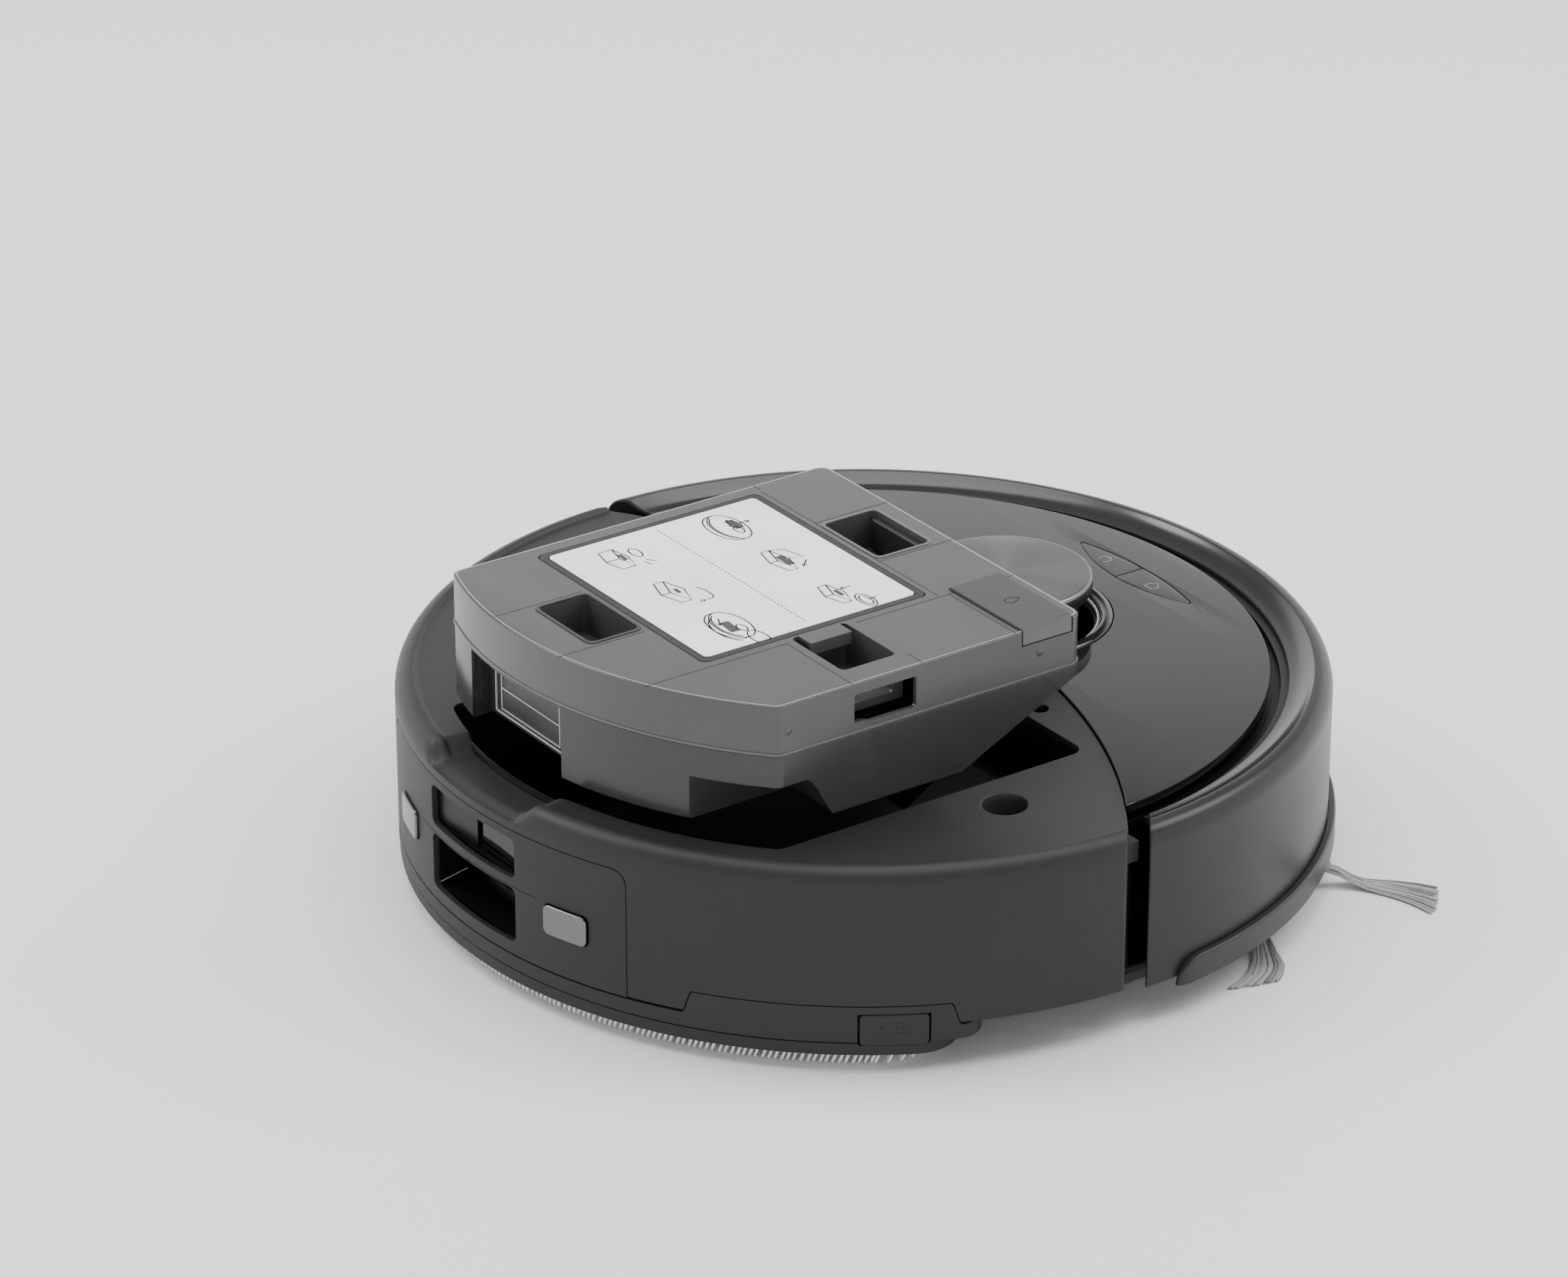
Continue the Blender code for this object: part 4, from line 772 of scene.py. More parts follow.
def button_strip(shrink, steps=28):
    outer_radius = BUTTON_OUTER - shrink
    half = BUTTON_HALF - shrink * 2
    angle = math.degrees(math.asin(half / outer_radius))
    outer = arc(outer_radius, -angle, angle, steps)
    sagitta = (outer_radius * math.cos(math.radians(angle)) - 0.0012) + BUTTON_INNER_Y - shrink
    radius = (half ** 2 + sagitta ** 2) / (2 * sagitta)
    centre_y = BUTTON_INNER_Y - shrink - radius
    inner_angle = math.degrees(math.asin(half / radius))
    return outer + arc(radius, 180 - inner_angle, 180 + inner_angle, steps, (0.0, centre_y))


def build_front():
    crossing = split_crossing(COVER_RADIUS, SPLIT_RADIUS + GAP)
    half_width = COVER_RADIUS * math.sin(math.radians(crossing))
    outline = arc(COVER_RADIUS, -crossing, crossing, 180) + split_arc(SPLIT_RADIUS + GAP, half_width,
            90)[1:-1]
    cover = prism("cover_plate", outline, COVER_TOP - 0.0032, COVER_TOP, holes=[button_strip(0.0)])
    cut(cover, cylinder("cover_well", WELL_RADIUS, *DECK_CUT, (0.0, TURRET_Y), steps=96))
    rounded_edges(cover, 0.0003, lambda at: at.z > COVER_TOP - 1e-5, 2)
    show(cover, "chassis", GLOSS, ["front_cover"], 38)

    grooves = [arc(BUTTON_OUTER + 0.0001, side * 14.6, side * 18.6, 14) for side in (1, -1)]
    show(ribbons("cover_grooves", grooves, 0.0003, COVER_TOP, 0.00003), "chassis", GLOSS_BLACK)

    divider = 0.0015
    for name, side in (("power", 1), ("home", -1)):
        button = prism(name + "_key", button_strip(GAP * 0.8), 0.0762, COVER_TOP - 0.0001)
        xs = (divider - 0.1, divider + 0.0002) if side > 0 else (divider - 0.0002, divider + 0.1)
        cut(button, box(name + "_half", xs, (-0.2, 0.0), (0.07, 0.09)))
        rounded_edges(button, 0.0002, lambda at: at.z > COVER_TOP - 0.0002, 2)
        show(button, name + "_button", GLOSS, [name + "_button"], 38)
    level = COVER_TOP - 0.0001
    centre = (0.0165, -0.1290)
    ring = arc(0.0024, 215, 505, 28, centre)
    strokes = [ring, [(centre[0], centre[1] - 0.0008), (centre[0], centre[1] - 0.0034)]]
    show(ribbons("power_icon", strokes, 0.00028, level), "power_button", ICON)
    x, y = -0.0135, -0.1290
    house = [(x - 0.0024, y + 0.0022), (x - 0.0024, y - 0.0006), (x, y - 0.0028), (x + 0.0024, y - 0.0006),
             (x + 0.0024, y + 0.0022), (x - 0.0024, y + 0.0022), (x - 0.0024, y + 0.0014)]
    show(ribbons("home_icon", [house], 0.00028, level), "home_button", ICON)

    # the ledge under the groove round the cover, and the posts behind the gap beside the bumper; the bed and
    # wall under the groove and the posts are near-black as painted shade for the dark groove and gap
    ledge = prism("groove_ledge", sector(0.1558, 0.1622, -86, 86, 140, (0.0, -0.0024)), LEDGE_TOP - 0.0022,
                  LEDGE_TOP, bevel=0.0002)
    # Painted shade: the bed under the groove is near-black so that the groove reads as dark.
    bed = prism("groove_bed", sector(0.1400, 0.1560, -86, 86, 140, (0.0, -0.0024)), 0.0700, 0.0715)
    # Painted shade: the wall under the cover's edge is near-black for the dark groove.
    section = rectangle((0.1525, 0.1545), (0.0722, 0.0222))
    wall = sweep("inner_wall", lambda angle: section, spread(-88, 88, 120))
    for side, name in SIDES:
        xs = sorted((side * 0.1500, side * 0.1700))
        shelf = box("gap_shelf_" + name, xs, (0.0002, 0.0082), (LEDGE_TOP - 0.0075, LEDGE_TOP + 0.0006),
                bevel=0.0003)
        show(shelf, "chassis", LEDGE)
        xs = sorted((side * 0.1520, side * 0.1662))
        # Painted shade: the posts are near-black so that the gap beside the bumper reads as dark.
        post = box("gap_post_" + name, xs, (0.0008, 0.0084), (0.0222, LEDGE_TOP - 0.0078), bevel=0.0003)
        show(post, "chassis", BLACK)
    show(ledge, "chassis", LEDGE, ["front_frame"])
    show(bed, "chassis", BLACK, ["front_frame"])
    show(wall, "chassis", BLACK, ["front_frame"])


# ------------------------------------------------------------------ bumper
BUMPER_END, SKIRT_END, BUMPER_SPLIT = 90.6, 86.2, 0.2886


BUMPER_CROWN_LINE = [(BUMPER_INNER + 0.0005, 0.0759), (0.1598, 0.0760), (0.1612, 0.0762), (0.1626, 0.0766),
                     (0.1640, 0.0772), (0.1653, 0.0780), (0.1664, 0.0788), (0.1672, 0.0795), (0.1678, 0.0799)]


def bumper_profile(angle):
    inset = end_inset(math.radians(BUMPER_END - abs(angle)) * BODY_RADIUS, 0.0012)
    top = [(BUMPER_INNER, 0.0750), (BUMPER_INNER + 0.0001, 0.0756), *BUMPER_CROWN_LINE, (0.1685, 0.0800),
           (0.1692, 0.0799)]
    top = [(radius, height - inset) for radius, height in top]
    fillet = ellipse_arc((0.1692, 0.0718), (0.0058 - inset, 0.0081 - inset), 84, 0, 14)
    side = BODY_RADIUS - inset
    return top + fillet + [(side, 0.0600), (side, 0.0400), (side, 0.0168), (side - 0.0003, 0.0162),
            (side - 0.0009, 0.0160), (BODY_RADIUS - WALL, 0.0160), (BODY_RADIUS - WALL, 0.0700),
            (0.1700, 0.0735), (0.1655, 0.0752), (0.1630, 0.0748), (0.1605, 0.0744), (BUMPER_INNER, 0.0743)]


def crown_profile(angle):
    """A thin polished band over the hollow inner part of the bumper's top."""
    lift, thickness = 0.00004, 0.0003
    upper = [(radius, height + lift) for radius, height in BUMPER_CROWN_LINE]
    return upper + [(radius, height - thickness) for radius, height in reversed(BUMPER_CROWN_LINE)]


def skirt_profile(angle):
    reach = math.radians(SKIRT_END - abs(angle)) * BODY_RADIUS
    share = min(1.0, max(0.0, reach / 0.0110))
    rise = math.sqrt(1 - (1 - share) ** 2)
    low, inner = 0.0130, BODY_RADIUS + GAP
    top = low + 0.0012 + 0.0090 * rise
    outer = inner + 0.0008 + 0.0019 * min(1.0, rise * 1.3)
    soft = 0.0006 + 0.0010 * rise
    return ([(inner, top)] + ellipse_arc((outer - 0.0009, top - soft), (0.0009, soft), 90, 0, 6)
            + ellipse_arc((outer - 0.0009, low + 0.0006), (0.0009, 0.0006), 0, -90, 4) + [(inner, low)])


def build_bumper():
    centre = (0.0, BUMPER_CENTRE_Y)
    bumper = sweep("bumper_body", bumper_profile, end_angles(-BUMPER_END, BUMPER_END, 220), centre=centre)
    end = BUMPER_END + math.degrees(math.asin(BUMPER_CENTRE_Y / BODY_RADIUS))
    follow_split(bumper, end, BUMPER_SPLIT)
    window = tile((-0.034, 0.034), (0.034, 0.056), 0.006, 8)
    cut(bumper, prism("window_hole", window, -0.20, -0.14, "Y"))
    show(bumper, "bumper", BUMPER_SATIN, ["bumper_shell"], 38)
    crown = sweep("bumper_rim", crown_profile, spread(-BUMPER_END + 0.5, BUMPER_END - 0.5, 200),
            centre=centre)
    follow_split(crown, end, BUMPER_SPLIT)
    show(crown, "bumper", BUMPER_CROWN, angle=50)
    section = rectangle((BODY_RADIUS - WALL, BODY_RADIUS - 0.0002), (0.060, 0.030))
    lens = sweep("bumper_lens", lambda angle: section, spread(-14, 14, 56), centre=centre)
    glass = tile((-0.0337, 0.0337), (0.0343, 0.0557), 0.0057, 8)
    keep(lens, prism("lens_shape", glass, -0.20, -0.14, "Y"))
    show(lens, "bumper", GLOSS_BLACK, ["bumper_window"], 38)
    skirt = sweep("bumper_lip", skirt_profile, end_angles(-SKIRT_END, SKIRT_END, 200, 0.010), centre=centre)
    show(skirt, "bumper", GRAPHITE, ["bumper_skirt"], 38)


# ------------------------------------------------------------------ turret
def build_turret():
    place = (0.0, TURRET_Y, 0.0)
    bezel = [(0.0372, 0.0766), (0.0420, 0.0766), (0.0420, 0.0786), (0.0419, 0.0792), (0.0414, 0.0798),
             (0.0406, 0.0803), (0.0397, 0.0806), (0.0388, 0.0805), (0.0381, 0.0801), (0.0376, 0.0795),
             (0.0372, 0.0790)]
    show(turned("bezel_ring", bezel, place), "chassis", GLOSS_BLACK, ["turret_bezel"], 50)
    # Painted highlight: the pale inner ring stands in for the bright ring line on the glossy bezel.
    ring = [(0.0362, 0.0763), (0.0369, 0.0766), (0.0369, 0.0779), (0.0366, 0.0783), (0.0361, 0.0783),
            (0.0357, 0.0779), (0.0357, 0.0766)]
    show(turned("bezel_inner_ring", ring, place), "chassis", EDGE_HIGHLIGHT, angle=60)

    edge = [(CAP_RADIUS - 0.0016, TURRET_TOP), (CAP_RADIUS - 0.0011, TURRET_TOP - 0.0001),
            (CAP_RADIUS - 0.0005, TURRET_TOP - 0.0005), (CAP_RADIUS - 0.0001, TURRET_TOP - 0.0011),
            (CAP_RADIUS, TURRET_TOP - 0.0018)]
    cap = turned("cap_disc", [(0.0, TURRET_TOP - 0.0001), (0.012, TURRET_TOP - 0.0001),
                              (0.024, TURRET_TOP)] + edge +
                 [(CAP_RADIUS, 0.0914), (CAP_RADIUS - 0.0003, 0.0907), (CAP_RADIUS - 0.0010, 0.0905),
                  (0.0, 0.0905)], place, steps=160)
    posts = [cylinder("cap_post", 0.0016, 0.0640, 0.0910, polar(0.0320, angle, (0.0, TURRET_Y)), steps=24)
             for angle in (45, 165, 285)]
    show(cap, "turret_cap", SPUN, ["turret_cap"], 30)
    show(merged("cap_posts", posts), "turret_cap", BLACK)


# ------------------------------------------------------------------ bin
def bin_block(name, inset, low, top, corner=0.005):
    block = prism(name, bin_outline(inset, corner), low - 0.001, top + 0.001)
    return keep(block, prism(name + "_side", bin_side(inset, low, top), -0.13, 0.08, "X"))


def build_bin_top():
    top = prism("bin_top", bin_outline(BIN_CLEARANCE), BIN_SEAM, BIN_TOP)
    rounded_edges(top, 0.0007, lambda at: at.z > BIN_TOP - 1e-5, 3)
    cut(top, prism("top_hollow", bin_outline(BIN_CLEARANCE + BIN_WALL, 0.0035), 0.05, BIN_TOP - BIN_WALL))
    rim = 0.0016
    pockets = [(POCKET_X, REAR_POCKET_Y), (POCKET_X, FRONT_POCKET_Y), (LATCH_POCKET_X, LATCH_POCKET_Y)]
    for xs, ys in pockets:
        join(top, box("pocket_wall", (xs[0] - rim, xs[1] + rim), (ys[0] - rim, ys[1] + rim),
                      (POCKET_LOW - rim, BIN_TOP - 0.0008)))
    seat, step = 0.0775, 0.0035
    hole = tile(LID_X, LID_Y, 0.003, 5)
    mouth = tile((LID_X[0] + step, LID_X[1] - step), (LID_Y[0] + step, LID_Y[1] - step), 0.003, 5)
    cut(top, prism("lid_hole", hole, seat, 0.09), prism("lid_mouth", mouth, 0.05, 0.09))
    for xs, ys in pockets:
        cut(top, prism("pocket_hollow", tile(xs, ys, 0.0022, 5), POCKET_LOW, 0.09))
    window = tile((LATCH_POCKET_Y[0] - 0.0005, LATCH_POCKET_Y[1] + 0.0030), (0.0628, 0.0748), 0.001, 4)
    cut(top, prism("side_window", window, -0.12, -0.0975, "X"))
    ys = (LATCH_POCKET_Y[0] + 0.0025, LATCH_POCKET_Y[1] - 0.0020)
    cut(top, prism("window_throat", tile(ys, (0.0655, 0.0742), 0.001, 4), -0.12, -0.09, "X"))
    ys = (PLUG_Y[0] - GAP, PLUG_Y[1] + GAP)
    cut(top, box("plug_seat", (PLUG_X[0] - 0.002, PLUG_X[1] + GAP), ys, (0.0779, 0.09)))
    cut(top, box("plug_lip_seat", (-0.12, -0.1052), ys, (0.0731, 0.09)))
    cut(top, cylinder("fill_hole", 0.0075, 0.07, 0.09, (-0.082, -0.006), steps=40))
    show(lifted(top), "bin", SMOKE, ["bin_lid_frame"], 38)

    # raised lips round the pockets, and the dark frame of the rear one
    for name, ys, paint in (("rear", REAR_POCKET_Y, SLATE_DARK), ("front", FRONT_POCKET_Y, CLEAR)):
        outer = tile((POCKET_X[0] - 0.0014, POCKET_X[1] + 0.0014), (ys[0] - 0.0014, ys[1] + 0.0014),
                        0.0034, 6)
        inner = tile(POCKET_X, ys, 0.0022, 6)
        lip = prism("pocket_lip_" + name, outer, BIN_TOP - 0.0002, BIN_TOP + 0.0003, holes=[inner],
                bevel=0.0001)
        show(lifted(lip), "bin", paint)


def build_bin_details():
    """Seam flange, deck lines, a painted highlight line along the top edge, ribs inside the skirt and the
    round dimples on its side.
    """
    outer, inner = bin_outline(BIN_CLEARANCE - 0.0004), bin_outline(BIN_CLEARANCE + 0.0010)
    flange = prism("bin_seam_flange", outer, BIN_SEAM - 0.0003, BIN_SEAM + 0.0007, holes=[inner],
            bevel=0.0002)
    show(lifted(flange), "bin", CLEAR)

    left, right = BAY_LEFT - BIN_CLEARANCE - 0.0008, BAY_RIGHT + BIN_CLEARANCE + 0.0008
    front = BAY_FRONT + BIN_CLEARANCE + 0.0008
    lid_line = LID_X[0] - 0.0035
    before, after = POCKET_X[0] - 0.0030, POCKET_X[1] + 0.0030
    lines = [[(LID_X[1], 0.0125), (LID_X[0] - 0.002, 0.0125)], [(lid_line, front), (lid_line, 0.050)],
             [(lid_line, 0.080), (lid_line, 0.1425)], [(lid_line, 0.0085), (right, 0.0085)],
             [(right, 0.0500), (LATCH_POCKET_X[0] - 0.002, 0.0500)], [(right, 0.0805), (lid_line, 0.0805)],
             [(before, 0.1165), (before, 0.1530)], [(after, 0.1165), (after, 0.1540)],
             [(after, front), (after, 0.0125)], [(before, front), (before, 0.0125)],
             [(LID_X[1] + 0.002, 0.012), (left, 0.012)]]
    ribs = ribbons("bin_deck_lines", lines, 0.0005, BIN_TOP - 0.00002, 0.00008)
    show(lifted(ribs), "bin", SLATE_DARK)

    # Painted highlight: a pale line just inside the top edge stands in for light on the rounded edge.
    border = bin_outline(BIN_CLEARANCE + 0.0011, 0.0042)
    edge = ribbons("bin_edge_highlight", [border + border[:1]], 0.00035, BIN_TOP - 0.00002, 0.00008)
    show(lifted(edge), "bin", EDGE_HIGHLIGHT)

    dimples = []
    for y in (-0.0020, 0.1085):
        dimple = turned("dimple", [(0.0, 0.0006), (0.0009, 0.0005), (0.0017, 0.0001), (0.0019, -0.0004),
                                   (0.0, -0.0004)], axis="X", steps=24)
        dimple.data.transform(Matrix.Rotation(math.pi, 4, "Z"))
        dimple.data.transform(Matrix.Translation((BAY_RIGHT + BIN_CLEARANCE, y, 0.0690)))
        dimples.append(dimple)
    show(lifted(merged("bin_dimples", dimples)), "bin", SMOKE)

    ribs = []
    wall = BAY_RADIUS - BIN_CLEARANCE - BIN_WALL
    for turn in (170.0, 186.0, 197.0, 208.0, 214.0):
        x, y = polar(wall - 0.0006, turn)
        rib = box("skirt_rib", (-0.0004, 0.0004), (-0.0012, 0.0012), (BIN_SEAM + 0.0006, BIN_TOP - BIN_WALL))
        rib.data.transform(Matrix.Translation((x, y, 0.0)) @ Matrix.Rotation(math.radians(turn), 4, "Z"))
        ribs.append(rib)
    for y in (0.0300, 0.0905):
        ribs.append(box("skirt_rib", (BAY_RIGHT + 0.0029, BAY_RIGHT + 0.0050), (y, y + 0.0008),
                        (BIN_SEAM + 0.0006, BIN_TOP - BIN_WALL)))
    show(lifted(merged("bin_skirt_ribs", ribs)), "bin", CLEAR)


VALVE = (-0.0940, 0.1090)
NOTCH_X, PORT_RECESS_X, PORT_RECESS_Y = -0.0810, (-0.0290, 0.0310), 0.1420


def build_bin_lower():
    tank = bin_block("bin_lower", BIN_CLEARANCE, BIN_LOW, BIN_SEAM - GAP)
    soften(tank, 0.0007, 3)
    notch_top, notch_y = BIN_LOW + 0.0170, 0.0860
    step_down = [(0.1010 - 0.0150 * i / 16, notch_top - 0.0185 * smooth(i / 16)) for i in range(17)]
    cut(tank, prism("notch", [(0.18, 0.0), (0.18, notch_top)] + step_down + [(notch_y, 0.0)], -0.13,
            NOTCH_X, "X"))
    cut(tank, box("port_recess", PORT_RECESS_X, (PORT_RECESS_Y, 0.18), (0.0, 0.0585)))
    inner = bin_block("tank_hollow", BIN_CLEARANCE + BIN_WALL, BIN_LOW + BIN_WALL, 0.08, 0.0035)
    notch_keep = (-0.14, NOTCH_X + BIN_WALL), (notch_y - BIN_WALL, 0.19), (0.0, notch_top + BIN_WALL)
    port_keep = (PORT_RECESS_X[0] - BIN_WALL, PORT_RECESS_X[1] + BIN_WALL), (PORT_RECESS_Y - BIN_WALL, 0.19)
    cut(inner, box("notch_keep", *notch_keep))
    cut(inner, box("port_keep", *port_keep, (0.0, 0.0700)))
    cut(tank, inner)
    cut(tank, box("port_hole", (-0.0208, 0.0228), (0.1300, 0.16), (0.0347, 0.0558)),
        box("inlet_hole", (-0.0380, 0.0080), (-0.0200, 0.0300), (0.0415, 0.0520)),
        box("air_hole", (0.0500, 0.0600), (0.0640, 0.0900), (0.0380, 0.0540)),
        cylinder("valve_hole", 0.0070, 0.04, 0.06, VALVE, steps=32))
    show(lifted(tank), "bin", SMOKE_LOW, ["bin_tank"], 38)

    flower = []
    for i in range(72):
        turn = 2 * math.pi * i / 72
        radius = 0.0086 + 0.0009 * math.cos(8 * turn)
        flower.append((VALVE[0] + radius * math.cos(turn), VALVE[1] + radius * math.sin(turn)))
    cap = prism("valve_cap", flower, 0.0545, 0.0590, bevel=0.0005)
    body = turned("valve_body", [(0.0, 0.0600), (0.0052, 0.0600), (0.0062, 0.0592), (0.0064, 0.0550),
                                 (0.0064, 0.0480), (0.0060, 0.0472), (0.0, 0.0470)], (*VALVE, 0.0), steps=48)
    show(lifted(cap), "bin", IVORY)
    show(lifted(body), "bin", IVORY, ["outlet_valve"])
    pipe = turned("feed_pipe", [(0.0, 0.0560), (0.0030, 0.0560), (0.0034, 0.0550), (0.0034, 0.0440),
            (0.0060, 0.0420), (0.0064, 0.0350), (0.0, 0.0345)], (-0.0955, 0.0680, 0.0), steps=36)
    show(lifted(pipe), "bin", IVORY)


def build_port():
    """The rear port's frame with its ribs, and the flap; the ridge round the port and the lines along the
    flap's edges are painted highlight.
    """
    frame_plate = prism("port_surround", rectangle((-0.0284, 0.0304), (0.0320, 0.0580)), 0.1424, 0.1450, "Y",
                        [tile((-0.0200, 0.0220), (0.0350, 0.0550), 0.0006, 3)], bevel=0.0003)
    show(lifted(frame_plate), "bin", SLATE_DARK, ["port_frame"])
    # Painted highlight: a pale ridge round the port opening stands in for light on its edge.
    ridge = prism("port_ridge", tile((-0.0240, 0.0260), (0.0336, 0.0566), 0.0010, 3), 0.1448, 0.1456,
                  "Y", [tile((-0.0232, 0.0252), (0.0344, 0.0558), 0.0006, 3)], bevel=0.0002)
    show(lifted(ridge), "bin", EDGE_HIGHLIGHT)
    flap = box("flap_plate", (-0.0196, 0.0216), (0.1440, 0.1460), (0.0354, 0.0546), bevel=0.0003)
    show(lifted(flap), "port_flap", SLATE_DARK, ["port_flap"])
    # Painted highlight: pale lines along the flap's edges stand in for light on them.
    line = prism("flap_highlight_lines", rectangle((-0.0186, 0.0206), (0.0364, 0.0536)), 0.1459, 0.1464, "Y",
            [rectangle((-0.0181, 0.0201), (0.0369, 0.0450)), rectangle((-0.0181, 0.0201),
            (0.0455, 0.0531))])
    show(lifted(line), "port_flap", EDGE_HIGHLIGHT)


# ------------------------------------------------------------------ label and its drawings
DRAWING_SCALE = 0.00118
LABEL_ROWS, LABEL_COLUMNS = (0.0270, -0.0080, -0.0430), (0.0880, 0.0410)


def placed_strokes(strokes, centre):
    """Drawing units are about a millimetre, u to the robot's right and v to its front."""
    return [[(centre[0] - u * DRAWING_SCALE, centre[1] - v * DRAWING_SCALE) for u, v in stroke]
            for stroke in strokes]


def oval(centre, radii, start=0, end=360, steps=26):
    turns = [math.radians(start + (end - start) * i / steps) for i in range(steps + 1)]
    return [(centre[0] + radii[0] * math.cos(t), centre[1] + radii[1] * math.sin(t)) for t in turns]


def drawn_robot():
    return [oval((0, 0), (10, 5.2)), [(-10, 0), (-10, -1.6)], [(10, 0), (10, -1.6)],
            oval((0, -1.6), (10, 5.2), 180, 360), oval((3.4, 1.4), (2.6, 1.3)), oval((0, 0), (9.0, 4.6),
            200, 340)]


def drawn_box(width=8, depth=4, height=3):
    skew = depth * 0.5
    return [[(-width, 0), (0, -skew), (width, 0), (0, skew), (-width, 0)],
            [(-width, 0), (-width, -height), (0, -skew - height), (width, -height), (width, 0)],
            [(0, -skew), (0, -skew - height)]]


def arrow(start, end):
    a, b, head = Vector(start), Vector(end), 1.4
    along = (b - a).normalized()
    side = Vector((-along.y, along.x))
    wing = b - along * head
    return [[tuple(a), tuple(b)], [tuple(wing + side * head * 0.6), tuple(b),
            tuple(wing - side * head * 0.6)]]


def label_drawings():
    lift_bin = drawn_robot() + [[(-5, 2), (-1, 4.6), (4, 3.2), (0, 0.6), (-5, 2)]] + arrow((-0.5, 3),
            (-0.5, 8))
    open_bin = drawn_box() + [[(-8, 0), (-6, 4.5), (2, 6.4), (0, 2)]] + arrow((4, 6), (7.5, 2.5))
    rinse = drawn_box(7, 4, 3) + [oval((9, 4), (5, 2.4)), oval((9, 4), (3.4, 1.5)), [(9, 8), (9, 5)]] + \
        arrow((-2, 6), (-2, 2))
    fill = drawn_box(8, 5, 3.4) + [[(1, 6.2), (5, 7.4), (9, 7.4), (10.5, 6.2), (10.5, 4.2)],
                                   [(10.5, 3.6), (9.9, 2.2), (10.5, 1.6), (11.1, 2.2), (10.5, 3.6)]]
    beat = drawn_box(7, 3, 5) + [oval((-1, 5), (3.4, 1.6)), [(5, 5), (8, 7)], [(6, 3.6), (9.4, 4.4)]]
    mop = drawn_robot() + [oval((2, -2.4), (9, 4.4), 190, 350), oval((12, 2), (5.5, 2.6), 60, 300)] + \
        arrow((-6, -1), (-1.6, -3.2))
    first, second = LABEL_COLUMNS
    plan = [(beat, first, 0), (fill, first, 1), (mop, first, 2),
            (lift_bin, second, 0), (open_bin, second, 1), (rinse, second, 2)]
    return [stroke for drawing, y, row in plan for stroke in placed_strokes(drawing, (LABEL_ROWS[row], y))]


def label_fills():
    """The dark parts of the drawings, as short broad strokes."""
    shades = [(0, 1, [(-4.2, 2.3), (2.6, 2.6)], 3.0), (1, 1, [(-3.0, 0.2), (4.6, 0.2)], 2.6),
              (2, 0, [(-3.0, -1.0), (4.6, -1.6)], 3.2), (1, 0, [(-1.6, 0.0), (1.8, 0.0)], 1.4),
              (2, 1, [(-2.4, 0.1), (2.2, 0.1)], 1.5), (0, 0, [(-2.6, -0.2), (2.0, -0.2)], 1.5)]
    return [(placed_strokes([stroke], (LABEL_ROWS[row], LABEL_COLUMNS[column])), width * DRAWING_SCALE)
            for row, column, stroke, width in shades]


def build_label():
    x0, x1, y0, y1 = LID_X[0] + GAP, LID_X[1] - GAP, LID_Y[0] + GAP, LID_Y[1] - GAP
    border = 0.0030
    card = tile((x0 + border, x1 - border), (y0 + border, y1 - border), 0.0022, 6)
    seal = prism("label_gasket", tile((x0, x1), (y0, y1), 0.0032, 6), 0.0778, 0.0791,
                 holes=[tile((x0 + border - GAP, x1 - border + GAP),
                                          (y0 + border - GAP, y1 - border + GAP), 0.0022, 6)], bevel=0.0003)
    show(lifted(seal), "dust_lid", SEAL, ["lid_seal"])
    sheet = prism("label_sheet", card, 0.0789, 0.0793, bevel=0.0001)
    show(lifted(sheet), "dust_lid", CARD, ["lid_label"])
    level = 0.0793
    show(lifted(ribbons("label_lines", label_drawings(), 0.00055, level, 0.00003)), "dust_lid", INK)
    fills = [ribbons("fill", strokes, width, level, 0.00002) for strokes, width in label_fills()]
    show(lifted(merged("label_fills", fills)), "dust_lid", SHADE)
    middle = (y0 + y1) / 2
    dashes, x = [], x0 + border + 0.004
    while x < x1 - border - 0.004:
        dashes.append([(x, middle), (x + 0.0011, middle)])
        x += 0.0021
    show(lifted(ribbons("label_dashes", dashes, 0.00050, level, 0.00003)), "dust_lid", INK)


